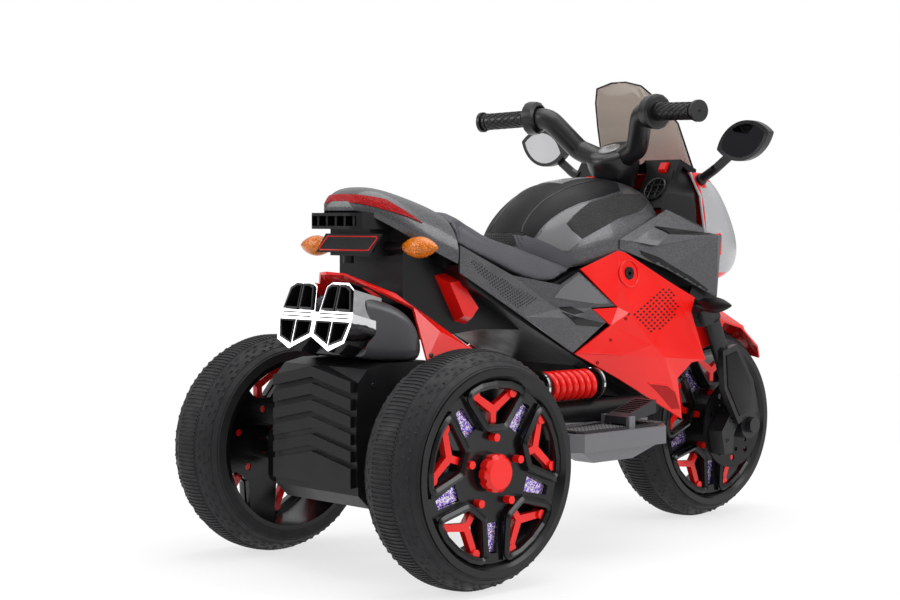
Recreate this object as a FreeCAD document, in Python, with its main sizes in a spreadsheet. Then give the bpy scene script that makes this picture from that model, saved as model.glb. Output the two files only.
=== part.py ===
import FreeCAD, Part
import math
import os
import Sketcher
from FreeCAD import Placement, Rotation, Vector

# Kids electric motorbike with one front wheel and two rear wheels.
# Millimetres. X forward, Y to the left, Z up, ground at Z = 0, origin midway between the axles.

doc = FreeCAD.newDocument("motorbike")
sheet = doc.addObject("Spreadsheet::Sheet", "Dims")

# Driving sizes, one row each in the sheet.
DRIVING = {
    # Wheels, all three from one mould
    "wheelbase": 672,
    "track": 398,
    "tyre_radius": 150,
    "tyre_width": 98,
    "tread_width": 29,
    "tread_crown": 1,
    "tyre_wall": 8,
    "sidewall_radius": 70,
    "tyre_edge_radius": 130,
    "rim_radius": 118,
    "rim_wall": 6,
    "rim_lip": 2.4,
    "spoke_face": 40,
    "spoke_depth": 14,
    "spoke_count": 5,
    "frame_rise": 6,
    "frame_border": 7,
    "window_near": 60,
    "window_half_near": 13,
    "window_half_far": 47,
    "slot_depth": 6,
    "hub_radius": 24,
    "cap_radius": 24,
    "cap_height": 15,
    "insert_width": 9,
    "insert_depth": 9,
    "insert_boss": 6,
    "stud_radius": 5,
    "stud_ring": 44,
    # Axles and running fits
    "axle_radius": 6,
    "running_gap": 0.05,
    "side_gap": 0.4,
    "seat_gap": 0.1,
    # Rear axle housing, arms and motors
    "housing_half": 84,
    "housing_wall": 3,
    "chevron_rise": 5,
    "chevron_width": 14,
    "chevron_pitch": 22,
    "chevron_count": 5,
    "chevron_drop": 16,
    "arm_radius": 16,
    "motor_radius": 18,
    "motor_length": 56,
    # Frame halves
    "frame_half": 64,
    "block_half": 96,
    "frame_wall": 3,
    "battery_room": 4,
    "battery_length": 94,
    "battery_width": 65,
    "battery_height": 151,
    # Panels
    "panel_wall": 3,
    "socket_radius": 9,
    "socket_bore": 2.9,
    "speaker_radius": 29,
    # Footrests and pedal
    "foot_half": 196,
    "foot_top": 176,
    "foot_height": 24,
    "mat_height": 3,
    "guard_gap": 12,
    "pedal_length": 58,
    "pedal_width": 38,
    "pedal_pin": 3,
    # Steering
    "rake": 25,
    "leg_offset": 100,
    "leg_radius": 13,
    "stem_radius": 12,
    "head_radius": 24,
    "disc_radius": 68,
    "disc_width": 3,
    "disc_offset": 80,
    "bar_radius": 16,
    "grip_radius": 12,
    "grip_length": 88,
    # Springs
    "spring_coil_radius": 16,
    "spring_wire": 5,
    "spring_turns": 7,
    "spring_length": 100,
    "damper_radius": 8,
    # Small moving pieces
    "rocker_length": 18,
    "rocker_width": 12,
    "button_radius": 6,
}
for row, (alias, value) in enumerate(DRIVING.items(), start=1):
    sheet.set(f"A{row}", alias)
    sheet.set(f"B{row}", str(value))
    sheet.setAlias(f"B{row}", alias)
doc.recompute()


class Size:
    """A length with its present value and the sheet expression that gives it."""

    def __init__(self, value, text):
        self.value = float(value)
        self.text = text

    def __neg__(self):
        return Size(-self.value, f"(-{self.text})")

    def __add__(self, other):
        other = sized(other)
        return Size(self.value + other.value, f"({self.text} + {other.text})")

    def __sub__(self, other):
        other = sized(other)
        return Size(self.value - other.value, f"({self.text} - {other.text})")

    def __mul__(self, other):
        other = sized(other)
        return Size(self.value * other.value, f"({self.text} * {other.text})")

    def __truediv__(self, other):
        other = sized(other)
        return Size(self.value / other.value, f"({self.text} / {other.text})")

    def __radd__(self, other):
        return sized(other) + self

    def __rsub__(self, other):
        return sized(other) - self

    def __rmul__(self, other):
        return sized(other) * self

    def __float__(self):
        return self.value


def sized(number):
    if isinstance(number, Size):
        return number
    return Size(number, f"({float(number):.6f})")


def dim(alias):
    return Size(sheet.get(alias), f"Dims.{alias}")


# Shared sizes and places
wheelbase = dim("wheelbase")
tyre_radius = dim("tyre_radius")
axle_z = tyre_radius
rear_x = -wheelbase / 2
front_x = wheelbase / 2
wheel_y = dim("track") / 2
tyre_half = dim("tyre_width") / 2
rim_radius = dim("rim_radius")
barrel_inner = rim_radius - dim("rim_wall")
axle_radius = dim("axle_radius")
side_gap = dim("side_gap")
seat_gap = dim("seat_gap")
bore_radius = axle_radius + dim("running_gap")
spoke_face = dim("spoke_face")
spoke_back = spoke_face - dim("spoke_depth")
hub_radius = dim("hub_radius")
block_half = dim("block_half")
frame_half = dim("frame_half")
panel_wall = dim("panel_wall")
gear_outer = wheel_y - tyre_half - 6
rake = dim("rake")
stretch = wheelbase / 672


def along(ahead):
    """X of a place given as its distance ahead of the rear axle on a 672 wheelbase."""
    return rear_x + stretch * ahead


def up(height):
    """Z of a place given as its height on a 150 wheel."""
    return axle_z + (height - 150)


def point(ahead, side, height):
    return Vector(float(along(ahead)), float(side), float(up(height)))


def bind(obj, prop, size):
    """Bind a property to the sheet."""
    obj.setExpression(prop, sized(size).text)


def place(obj, x=0, y=0, z=0, rotation=None):
    if rotation:
        obj.Placement = Placement(Vector(), rotation)
    bind(obj, "Placement.Base.x", x)
    bind(obj, "Placement.Base.y", y)
    bind(obj, "Placement.Base.z", z)
    return obj


# Building blocks: sketches in bodies
def new_body(name):
    body = doc.addObject("PartDesign::Body", name)
    body.Label = name
    return body


def origin_plane(body, role):
    return [part for part in body.Origin.OriginFeatures if part.Role == role][0]


def new_sketch(body, name, role, lift=None):
    sketch = body.newObject("Sketcher::SketchObject", name)
    sketch.AttachmentSupport = [(origin_plane(body, role), "")]
    sketch.MapMode = "FlatFace"
    if lift is not None:
        bind(sketch, "AttachmentOffset.Base.z", lift)
    return sketch


def fix_point(sketch, curve, end, u, v):
    for kind, size in (("DistanceX", sized(u)), ("DistanceY", sized(v))):
        index = sketch.addConstraint(Sketcher.Constraint(kind, -1, 1, curve, end, size.value))
        sketch.setExpression(f"Constraints[{index}]", size.text)


def arc_middle(start, end, radius):
    """Middle of an arc that bulges to the right of the way from start to end."""
    chord = end - start
    half = chord.Length / 2
    sag = radius - math.sqrt(max(radius * radius - half * half, 0))
    return (start + end) * 0.5 + Vector(chord.y, -chord.x, 0).normalize() * sag


def draw_outline(sketch, points, arcs=None):
    """A closed outline through the points; arcs gives the radius of an edge by its number."""
    arcs = arcs or {}
    first = sketch.GeometryCount
    flat = [Vector(float(u), float(v), 0) for u, v in points]
    count = len(points)
    ends = []
    for i in range(count):
        start, end = flat[i], flat[(i + 1) % count]
        if i in arcs:
            arc = Part.Arc(start, arc_middle(start, end, float(arcs[i])), end)
            curve = sketch.addGeometry(arc)
            turned = (sketch.getPoint(curve, 1) - start).Length > 1e-6
            ends.append((2, 1) if turned else (1, 2))
        else:
            sketch.addGeometry(Part.LineSegment(start, end))
            ends.append((1, 2))
    for i in range(count):
        after = (i + 1) % count
        link = Sketcher.Constraint("Coincident", first + i, ends[i][1], first + after, ends[after][0])
        sketch.addConstraint(link)
    for i, (u, v) in enumerate(points):
        fix_point(sketch, first + i, ends[i][0], u, v)
    for i, radius in arcs.items():
        index = sketch.addConstraint(Sketcher.Constraint("Radius", first + i, float(radius)))
        sketch.setExpression(f"Constraints[{index}]", sized(radius).text)


def draw_circle(sketch, u, v, radius):
    circle = Part.Circle(Vector(float(u), float(v), 0), Vector(0, 0, 1), float(radius))
    curve = sketch.addGeometry(circle)
    index = sketch.addConstraint(Sketcher.Constraint("Radius", curve, float(radius)))
    sketch.setExpression(f"Constraints[{index}]", sized(radius).text)
    fix_point(sketch, curve, 3, u, v)


def revolve(body, sketch, axis="V_Axis"):
    turn = body.newObject("PartDesign::Revolution", "turn")
    turn.Profile = sketch
    turn.ReferenceAxis = (sketch, [axis])
    turn.Angle = 360
    body.Tip = turn
    return turn


def pad(body, sketch, length, reverse=False, middle=False):
    boss = body.newObject("PartDesign::Pad", "pad")
    boss.Profile = sketch
    bind(boss, "Length", length)
    boss.Reversed = reverse
    boss.Midplane = middle
    body.Tip = boss
    return boss


def pocket(body, sketch, depth=None, reverse=False):
    cut = body.newObject("PartDesign::Pocket", "pocket")
    cut.Profile = sketch
    if depth is None:
        cut.Type = 1
        cut.Midplane = True
    else:
        bind(cut, "Length", depth)
        cut.Reversed = reverse
    body.Tip = cut
    return cut


def around(body, features, sketch, count):
    pattern = body.newObject("PartDesign::PolarPattern", "around")
    pattern.Originals = features
    pattern.Axis = (sketch, ["N_Axis"])
    pattern.Angle = 360
    bind(pattern, "Occurrences", count)
    body.Tip = pattern
    return pattern


# Building blocks: solids and joins
def box(name, x0, x1, y0, y1, z0, z1):
    block = doc.addObject("Part::Box", name)
    bind(block, "Length", sized(x1) - x0)
    bind(block, "Width", sized(y1) - y0)
    bind(block, "Height", sized(z1) - z0)
    return place(block, x0, y0, z0)


def cylinder(name, radius, length, x, y, z, axis):
    rod = doc.addObject("Part::Cylinder", name)
    bind(rod, "Radius", radius)
    bind(rod, "Height", length)
    return place(rod, x, y, z, Rotation(Vector(0, 0, 1), axis))


def fuse(name, objects):
    join = doc.addObject("Part::MultiFuse", name)
    join.Shapes = objects
    join.Refine = True
    return join


def cut(name, base, tools):
    doc.recompute()
    result = doc.addObject("Part::Cut", name)
    result.Base = base
    result.Tool = tools[0] if len(tools) == 1 else fuse(name + "_tools", tools)
    return result


def round_edges(name, base, radius, wanted):
    """Round the edges of base for which wanted(edge) is true."""
    doc.recompute()
    fillet = doc.addObject("Part::Fillet", name)
    fillet.Base = base
    fillet.Edges = [
        (number, float(radius), float(radius))
        for number, edge in enumerate(base.Shape.Edges, start=1)
        if wanted(edge)
    ]
    return fillet


def group(name, objects):
    """Separate solids that are handed in as one piece."""
    pieces = doc.addObject("Part::Compound", name)
    pieces.Links = objects
    return pieces


def pair(name, source):
    """A right piece and its mirror image on the left, as one group."""
    return group(name, [source, mirrored(name + "_twin", source)])


def mirrored(name, source):
    twin = doc.addObject("Part::Mirroring", name)
    twin.Source = source
    twin.Normal = Vector(0, 1, 0)
    return twin


def feature(name, shape):
    obj = doc.addObject("Part::Feature", name)
    obj.Shape = shape
    return obj


def triangles_solid(points, faces):
    sheets = []
    for corners in faces:
        ring = [points[i] for i in corners]
        sheets.append(Part.Face(Part.makePolygon(ring + ring[:1])))
    solid = Part.Solid(Part.Shell(sheets))
    if solid.Volume < 0:
        solid.reverse()
    return solid


def creased_panel(rim, inner, faces, wall):
    """A panel of flat facets: rim and inner points are (ahead, side, height), faces index into both.

    The back follows the front at the wall thickness towards the middle of the bike.
    """
    front = [point(*p) for p in rim + inner]
    back = [p - Vector(0, math.copysign(float(wall), p.y), 0) for p in front]
    count = len(front)
    shell = [tuple(face) for face in faces]
    shell += [tuple(i + count for i in reversed(face)) for face in faces]
    edges = len(rim)
    for i in range(edges):
        j = (i + 1) % edges
        shell.append((j, i, i + count))
        shell.append((j, i + count, j + count))
    return triangles_solid(front + back, shell)


def loft(sections):
    return Part.makeLoft(sections, True, False)


def dome(ahead, half, low, high, fullness=0.8, shoulder=0.55):
    """A cross-section at one place along the bike: flat below, crowned above."""
    x = float(along(ahead))
    base, top = float(up(low)), float(up(high))
    rise = top - base
    right = [
        Vector(x, -half, base),
        Vector(x, -half * 1.01, base + rise * shoulder * 0.5),
        Vector(x, -half * fullness, base + rise * (0.5 + shoulder * 0.5)),
    ]
    left = [Vector(p.x, -p.y, p.z) for p in reversed(right)]
    curve = Part.BSplineCurve()
    curve.interpolate(right + [Vector(x, 0, top)] + left)
    floor = Part.LineSegment(left[-1], right[0])
    return Part.Wire([curve.toShape(), floor.toShape()])


nodes = {}


def keep(name, obj):
    """Hand in this object as a piece of the bike."""
    obj.Label = name
    nodes[name] = obj
    return obj


# Wheels. Each is drawn about its own Y axis with the face towards +Y.
def tyre(name):
    body = new_body(name)
    profile = new_sketch(body, name + "_profile", "XY_Plane")
    inner = rim_radius + seat_gap
    edge = dim("tyre_edge_radius")
    tread = dim("tread_width") / 2
    shoulder = tyre_radius - dim("tread_crown")
    wall = dim("tyre_wall")
    points = [
        (inner, -tyre_half),
        (edge, -tyre_half),
        (shoulder, -tread),
        (tyre_radius, -tread * 0.3),
        (tyre_radius, tread * 0.3),
        (shoulder, tread),
        (edge, tyre_half),
        (inner, tyre_half),
        (inner, tyre_half - wall * 1.5),
        (edge + wall * 0.5, tyre_half - wall * 1.8),
        (tyre_radius - wall, tread),
        (tyre_radius - wall, -tread),
        (edge + wall * 0.5, wall * 1.8 - tyre_half),
        (inner, wall * 1.5 - tyre_half),
    ]
    bulge = dim("sidewall_radius")
    draw_outline(profile, points, {1: bulge, 5: bulge})
    revolve(body, profile)
    return body


def window_outline(near, half_near, half_far, far):
    reach = math.sqrt(float(far) ** 2 - float(half_far) ** 2) / float(far)
    return [
        (-half_near, near),
        (half_near, near),
        (half_far, far * reach),
        (-half_far, far * reach),
    ]


def rim(name, hub_back):
    body = new_body(name)
    profile = new_sketch(body, name + "_profile", "XY_Plane")
    lip_in = tyre_half + seat_gap
    lip_out = lip_in + dim("rim_lip")
    lip_radius = dim("tyre_edge_radius") - 1
    points = [
        (bore_radius, hub_back),
        (hub_radius, hub_back),
        (hub_radius, spoke_back - 2),
        (barrel_inner, spoke_back),
        (barrel_inner, -tyre_half),
        (rim_radius, -tyre_half),
        (rim_radius, lip_in),
        (lip_radius, lip_in),
        (lip_radius, lip_out),
        (rim_radius + 2, lip_out),
        (barrel_inner, spoke_face + 2),
        (hub_radius, spoke_face - 4),
        (hub_radius, spoke_face),
        (bore_radius, spoke_face),
    ]
    draw_outline(profile, points)
    revolve(body, profile)
    count = dim("spoke_count")
    far = barrel_inner - 2
    border = dim("frame_border")
    near = dim("window_near")
    half_near = dim("window_half_near")
    half_far = dim("window_half_far")
    # The XZ plane faces -Y, so a lift of minus y lays a sketch at y.
    frame = new_sketch(body, name + "_frame", "XZ_Plane", -spoke_back - 2)
    outline = window_outline(near - border, half_near + border, half_far + border, far)
    draw_outline(frame, outline, {2: far})
    raised = pad(body, frame, dim("spoke_depth") + dim("frame_rise") - 2, reverse=True)
    around(body, [raised], frame, count)
    window = new_sketch(body, name + "_window", "XZ_Plane")
    draw_outline(window, window_outline(near, half_near, half_far, far), {2: far})
    opened = pocket(body, window)
    around(body, [opened], window, count)
    slot = new_sketch(body, name + "_slot", "XZ_Plane", -spoke_face - 20)
    turn = math.radians(180 / float(count))
    wedge = [(-11, near + 2), (11, near + 2), (6, far - 10), (-6, far - 10)]
    draw_outline(
        slot,
        [
            (u * math.cos(turn) + v * math.sin(turn), v * math.cos(turn) - u * math.sin(turn))
            for u, v in wedge
        ],
    )
    sunk = pocket(body, slot, dim("slot_depth") + 20, reverse=True)
    around(body, [sunk], slot, count)
    stud = new_sketch(body, name + "_stud", "XZ_Plane", -spoke_back + 6)
    draw_circle(stud, 0, dim("stud_ring"), dim("stud_radius") + seat_gap)
    drilled = pocket(body, stud, dim("spoke_depth") + 20, reverse=False)
    around(body, [drilled], stud, count)
    return body


def inserts(name):
    """Five red forks, one in each window, and five studs near the hub."""
    body = new_body(name)
    body.AllowCompound = True
    count = dim("spoke_count")
    half = dim("insert_width") / 2
    near = dim("window_near") + seat_gap
    reach = barrel_inner - 2 - seat_gap
    low = spoke_face - 8
    fork = new_sketch(body, name + "_fork", "XZ_Plane", -low)
    boss = dim("insert_boss")
    spread = reach * 0.29
    tip = reach * 0.885
    branch = reach * 0.72
    outline = [
        (-half, near),
        (half, near),
        (half, branch - half),
        (spread + half * 0.7, tip - half * 0.7),
        (spread - half * 0.7, tip + half * 0.7),
        (half * 0, branch + half),
        (half * 0.7 - spread, tip + half * 0.7),
        (-half * 0.7 - spread, tip - half * 0.7),
        (-half, branch - half),
    ]
    draw_outline(fork, outline)
    arm = pad(body, fork, dim("insert_depth"), reverse=True)
    ends = new_sketch(body, name + "_ends", "XZ_Plane", -low)
    draw_circle(ends, spread, tip, boss)
    draw_circle(ends, -spread, tip, boss)
    knobs = pad(body, ends, dim("insert_depth") + 3, reverse=True)
    around(body, [arm, knobs], fork, count)
    stud = new_sketch(body, name + "_stud", "XZ_Plane", -spoke_back)
    draw_circle(stud, 0, dim("stud_ring"), dim("stud_radius"))
    pin = pad(body, stud, dim("spoke_depth") + 8, reverse=True)
    around(body, [pin], stud, count)
    return body


def hub_cap(name):
    body = new_body(name)
    profile = new_sketch(body, name + "_profile", "XY_Plane")
    radius = dim("cap_radius")
    low = spoke_face + seat_gap
    high = low + dim("cap_height")
    hollow = axle_radius + 4
    points = [
        (hollow, low),
        (radius, low),
        (radius, high - 5),
        (radius - 5, high),
        (0, high),
        (0, high - 3),
        (hollow, high - 3),
    ]
    draw_outline(profile, points)
    revolve(body, profile)
    scallop = new_sketch(body, name + "_scallop", "XZ_Plane")
    draw_circle(scallop, 0, radius + 3, radius * 0.2)
    groove = pocket(body, scallop)
    around(body, [groove], scallop, dim("spoke_count") * 2)
    return body


WHEELS = {
    "rear_left": (rear_x, wheel_y, 0),
    "rear_right": (rear_x, -wheel_y, 180),
    "front": (front_x, sized(0), 180),
}
rear_hub_back = gear_outer + side_gap - wheel_y
for wheel, (x, y, turned) in WHEELS.items():
    flip = Rotation(Vector(0, 0, 1), turned)
    hub_back = rear_hub_back if wheel != "front" else -spoke_face - 6
    keep(wheel + "_tyre", place(tyre(wheel + "_tyre"), x, y, axle_z, flip))
    keep(wheel + "_rim", place(rim(wheel + "_rim", hub_back), x, y, axle_z, flip))
    accents = [place(inserts(wheel + "_forks"), x, y, axle_z, flip)]
    if wheel != "front":
        accents.append(place(hub_cap(wheel + "_cap"), x, y, axle_z, flip))
    keep(wheel + "_inserts", group(wheel + "_inserts", accents))

# Rear axle, through both wheels
rear_reach = wheel_y + spoke_face + dim("cap_height") - 5
rear_rod = cylinder("rear_axle", axle_radius, rear_reach * 2, rear_x, -rear_reach, axle_z, Vector(0, 1, 0))
keep("rear_axle", rear_rod)

# Rear axle housing: a hollow box round the axle with chevron ribs on its back, and two arms that run forward
housing_half = dim("housing_half")
housing_wall = dim("housing_wall")
arm_radius = dim("arm_radius")
arm_y = block_half + arm_radius
arm_z = up(196)
Y_AXIS = Vector(0, 1, 0)
HOUSING = [
    (-70, 272),
    (-85, 256),
    (-89, 190),
    (-85, 112),
    (-66, 94),
    (36, 94),
    (70, 128),
    (70, 236),
    (36, 278),
    (-40, 278),
]
housing_back = -89
rib_top = 273
rib_root = 30


def inset(outline, amount):
    """The outline drawn in towards its middle."""
    cx = sum(a for a, z in outline) / len(outline)
    cz = sum(z for a, z in outline) / len(outline)
    return [
        (along(a) - math.copysign(amount, a - cx), up(z) - math.copysign(amount, z - cz)) for a, z in outline
    ]


housing_body = new_body("housing_body")
housing_outline = new_sketch(housing_body, "housing_outline", "XZ_Plane")
draw_outline(housing_outline, [(along(a), up(z)) for a, z in HOUSING])
pad(housing_body, housing_outline, housing_half * 2, middle=True)


def chevron_ribs():
    """Rib prisms from the back face outwards, and the smooth apron below them."""
    pitch = float(dim("chevron_pitch"))
    width = float(dim("chevron_width"))
    half = float(housing_half) - 5
    drop = float(dim("chevron_drop"))
    rise = float(dim("chevron_rise"))
    count = int(float(dim("chevron_count")))
    back = float(along(housing_back)) - rise
    prisms = []
    for i in range(count + 1):
        top = float(up(rib_top)) - i * pitch
        low = [top - width] * 3 if i < count else [float(up(122)) + drop] * 3
        ring = [
            Vector(back, 0, top),
            Vector(back, half, top - drop),
            Vector(back, half, low[0] - drop),
            Vector(back, 0, low[1] if i < count else low[1] - drop),
            Vector(back, -half, low[2] - drop),
            Vector(back, -half, top - drop),
        ]
        prisms.append(Part.Face(Part.makePolygon(ring + ring[:1])).extrude(Vector(rise + rib_root, 0, 0)))
    return Part.makeCompound(prisms)


ribs = feature("ribs", chevron_ribs())
end_left = cylinder("end_left", 56, block_half + 4 - housing_half, rear_x, housing_half, axle_z, Y_AXIS)
end_right = mirrored("end_right", end_left)
arm_left = cylinder("arm_left", arm_radius, stretch * 398, along(20), arm_y, arm_z, Vector(1, 0, 0))
arm_right = mirrored("arm_right", arm_left)
bridge_length = arm_y - frame_half
bridge_left = cylinder("bridge_left", arm_radius - 3, bridge_length, along(396), frame_half, arm_z, Y_AXIS)
bridge_right = mirrored("bridge_right", bridge_left)
housing_parts = [housing_body, ribs, end_left, end_right, arm_left, arm_right, bridge_left, bridge_right]
housing_solid = fuse("housing_solid", housing_parts)
housing_hollow = new_body("housing_hollow")
hollow_outline = new_sketch(housing_hollow, "hollow_outline", "XZ_Plane")
draw_outline(hollow_outline, inset(HOUSING, housing_wall.value))
pad(housing_hollow, hollow_outline, (housing_half - housing_wall) * 2, middle=True)
axle_bore = cylinder("axle_bore", axle_radius, block_half * 4, rear_x, -block_half * 2, axle_z, Y_AXIS)
motor_z = axle_z + 30
motor_gap = dim("motor_radius") + 1
motor_bore = cylinder("motor_bore", motor_gap, block_half * 4, rear_x, -block_half * 2, motor_z, Y_AXIS)
keep("axle_housing", cut("axle_housing", housing_solid, [housing_hollow, axle_bore, motor_bore]))

# Gear motors, one beside each rear wheel, with the motor can inside the housing
gear_inner = block_half + 4
case_left = box("case_left", along(-52), along(66), gear_inner, gear_outer, up(104), up(178))
case_round = round_edges("case_round", case_left, 12, lambda edge: abs(edge.BoundBox.YLength) > 20)
can_length = dim("motor_length")
can_left = cylinder(
    "can_left", dim("motor_radius"), can_length, rear_x, gear_inner - can_length, motor_z, Y_AXIS
)
motor_joined = fuse("motor_joined", [case_round, can_left])
motor_axle_bore = cylinder("motor_axle_bore", axle_radius + 1, block_half * 3, rear_x, 0, axle_z, Y_AXIS)
gear_motor_left = cut("gear_motor_left", motor_joined, [motor_axle_bore])
keep("gear_motors", pair("gear_motors", gear_motor_left))

# Frame halves: a narrow spine with the seat column, and a wide block under the tank
SPINE = [
    (8, 426),
    (8, 352),
    (40, 304),
    (150, 314),
    (262, 308),
    (330, 262),
    (350, dim("foot_top")),
    (470, dim("foot_top")),
    (508, 222),
    (510, 321),
    (604, 365),
    (560, 436),
    (480, 424),
    (371, 410),
    (300, 388),
    (236, 369),
    (110, 395),
]
BLOCK = [
    (72, 402),
    (98, 373),
    (384, 229),
    (480, 182),
    (508, 222),
    (510, 321),
    (592, 360),
    (560, 436),
    (480, 424),
    (371, 410),
    (300, 388),
    (236, 369),
    (110, 394),
]
COLUMN_BAY = [(20, 416), (20, 356), (46, 318), (150, 324), (255, 318), (236, 358), (110, 384)]
SEAT_BAY = [(118, 376), (236, 318), (300, 286), (300, 378), (236, 358), (112, 384)]
LOW_BAY = [(312, 291), (390, 291), (390, 232), (312, 272)]
FLOOR_BAY = [(402, 234), (490, 234), (496, 226), (477, 190), (402, 227)]
NOSE_BAY = [(512, 332), (584, 364), (554, 426), (512, 420)]
battery_length = dim("battery_length")
battery_height = dim("battery_height")
battery_room = dim("battery_room")
battery_x = along(494) - battery_length
battery_z = up(240)
control_length = 78
control_x = battery_x - battery_room - 6 - control_length
battery_bay_end = battery_x + battery_length + battery_room
TANK_BAY = [
    (control_x - 6, up(296)),
    (battery_x - battery_room, up(296)),
    (battery_x - battery_room, battery_z),
    (battery_bay_end, battery_z),
    (battery_bay_end + 4, up(398)),
    (along(371), up(396)),
    (control_x - 6, up(380)),
]
head_foot = 222
head_top = 322
steer_axis = Rotation(Vector(0, 1, 0), -float(rake))
AXIS = steer_axis.multVec(Vector(0, 0, 1))
axle_front = Vector(float(front_x), 0, float(axle_z))


def on_axis(distance):
    return axle_front + AXIS * distance


def frame_half_body(name):
    """Left half of the frame, drawn on the middle plane and padded outwards."""
    body = new_body(name)
    for label, outline, half in (("spine", SPINE, frame_half), ("block", BLOCK, block_half)):
        sketch = new_sketch(body, f"{name}_{label}", "XZ_Plane")
        draw_outline(sketch, [(along(x), up(z)) for x, z in outline])
        pad(body, sketch, half, reverse=True)
    bays = [("tank", TANK_BAY, block_half)]
    hollows = (
        ("column", COLUMN_BAY, frame_half),
        ("seat", SEAT_BAY, block_half),
        ("low", LOW_BAY, block_half),
        ("floor", FLOOR_BAY, block_half),
        ("nose", NOSE_BAY, block_half),
    )
    for label, outline, half in hollows:
        bays.append((label, [(along(x), up(z)) for x, z in outline], half))
    for label, outline, half in bays:
        bay = new_sketch(body, f"{name}_{label}_bay", "XZ_Plane")
        draw_outline(bay, outline)
        pocket(body, bay, half - dim("frame_wall"))
    return body


spine_left = frame_half_body("spine_left")
head_tube = feature(
    "head_tube",
    Part.makeCylinder(float(dim("head_radius")), head_top - head_foot, on_axis(head_foot), AXIS),
)
stem_bore_radius = dim("stem_radius") + dim("running_gap")
stem_bore = feature("stem_bore", Part.makeCylinder(float(stem_bore_radius), 500, on_axis(100), AXIS))
right_side = box("right_side", along(-300), along(1000), -300, 0, up(0), up(900))
spine_head = fuse("spine_head", [spine_left, head_tube])
keep("frame_left", cut("frame_left", spine_head, [stem_bore, right_side]))
keep("frame_right", mirrored("frame_right", nodes["frame_left"]))

# Battery and control box in the bay of the frame
battery_y = dim("battery_width") / 2
battery_top = battery_z + battery_height
battery_case = box(
    "battery_case",
    battery_x + 1,
    battery_x + battery_length - 1,
    -battery_y,
    battery_y,
    battery_z,
    battery_top,
)
terminal_left = cylinder("terminal_left", 5, 5, battery_x + 20, 20, battery_top, Vector(0, 0, 1))
terminal_right = mirrored("terminal_right", terminal_left)
keep("battery", fuse("battery", [battery_case, terminal_left, terminal_right]))
control_case = box("control_case", control_x, control_x + control_length, -30, 30, up(296), up(322))
keep(
    "control_box",
    round_edges("control_box", control_case, 4, lambda edge: abs(edge.BoundBox.ZLength) > 20),
)

# Tank cover: crowned shell over the frame block, open below
TANK = [
    (240, 28, 398, 428, 0.78),
    (262, 54, 396, 456, 0.74),
    (300, 82, 395, 490, 0.72),
    (345, 96, 404, 513, 0.72),
    (400, 102, 414, 522, 0.72),
    (450, 101, 424, 522, 0.72),
    (478, 98, 427, 516, 0.72),
]


def tank_solid(shrink, floor_drop=0):
    return loft(
        [
            dome(ahead, half - shrink, low - floor_drop, high - shrink, fullness)
            for ahead, half, low, high, fullness in TANK
        ]
    )


tank_outer = tank_solid(0)
tank_inner = tank_solid(4, 6)
stem_room = Part.makeCylinder(40, 300, on_axis(330), AXIS)
keep("tank_cover", feature("tank_cover", tank_outer.cut(tank_inner).cut(stem_room)))

# Seat cushion: crowned, with its nose tucked round the tank
SEAT = [
    (75, 98, 430, 474, 0.8),
    (115, 100, 412, 460, 0.82),
    (177, 101, 388, 434, 0.84),
    (236, 100, 374, 420, 0.84),
    (275, 96, 380, 412, 0.84),
    (306, 88, 391, 408, 0.84),
]
seat_loft = loft([dome(a, half, low, high, full) for a, half, low, high, full in SEAT])
seat_blank = feature("seat_blank", seat_loft.cut(tank_outer).cut(tank_inner))

# Tail cowl: crowned shell behind the seat that narrows to a blunt tip
TAIL = [
    (-46, 30, 473, 485, 0.8),
    (-34, 45, 467, 499, 0.76),
    (0, 71, 445, 502, 0.76),
    (40, 88, 421, 490, 0.78),
    (74, 98, 404, 475, 0.8),
]
tail_outer = loft([dome(a, half, low, high, full) for a, half, low, high, full in TAIL])
tail_inner = loft([dome(a, half - 4, low - 8, high - 5, full) for a, half, low, high, full in TAIL])
tail_keep = Part.makeBox(400, 400, 400, point(-38, -200, 300))
keep("tail_cowl", feature("tail_cowl", tail_outer.cut(tail_inner.common(tail_keep))))

# Red light band let into each flank of the tail
BAND = [(-60, 499), (-60, 488), (8, 465), (26, 457), (-14, 488)]


def band_shape():
    ring = [point(a, -150, z) for a, z in BAND]
    prism = Part.Face(Part.makePolygon(ring + ring[:1])).extrude(Vector(0, 300, 0))
    gap = float(seat_gap)
    skin = gap + 1.6
    grown = loft([dome(a, half + skin, low, high + skin, full) for a, half, low, high, full in TAIL])
    room = loft([dome(a, half + gap, low, high + gap, full) for a, half, low, high, full in TAIL])
    return prism.common(grown.cut(room))


tail_band = band_shape()
keep("tail_light", feature("tail_light", tail_band))

# Tail light housing under the tail, with ribs, and the plate bracket that hangs from it
lamp_back = along(-60)
lamp_low = up(449)
lamp_high = up(470)
lamp_half = 50
lamp_block = box("lamp_block", lamp_back, along(8), -lamp_half, lamp_half, lamp_low, lamp_high)
lamp_case = round_edges(
    "lamp_case",
    lamp_block,
    16,
    lambda edge: edge.BoundBox.ZLength > 10 and edge.BoundBox.XMax < float(lamp_back) + 1,
)
room_half = lamp_half - 5
lamp_room = box("lamp_room", lamp_back - 10, along(-26), -room_half, room_half, lamp_low + 4, lamp_high - 4)
lamp_shell = cut("lamp_shell", lamp_case, [lamp_room])
lamp_ribs = []
for i in range(5):
    rib_y = i * 18 - 38
    lamp_ribs.append(
        box(f"lamp_rib_{i}", along(-52), along(-24), rib_y, rib_y + 4, lamp_low + 2, lamp_high - 2)
    )
plate_arm = box("plate_arm", along(-28), along(8), -40, 40, up(414), up(450))
knob = cylinder("knob", 7, 10, along(-22), 10, up(404), Vector(0, 0, 1))
stalk_left = cylinder("stalk_left", 6, 52, along(1), 30, up(426), Y_AXIS)
stalk_right = mirrored("stalk_right", stalk_left)
bracket_joined = fuse("bracket_joined", [lamp_shell, plate_arm, knob, stalk_left, stalk_right] + lamp_ribs)
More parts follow.
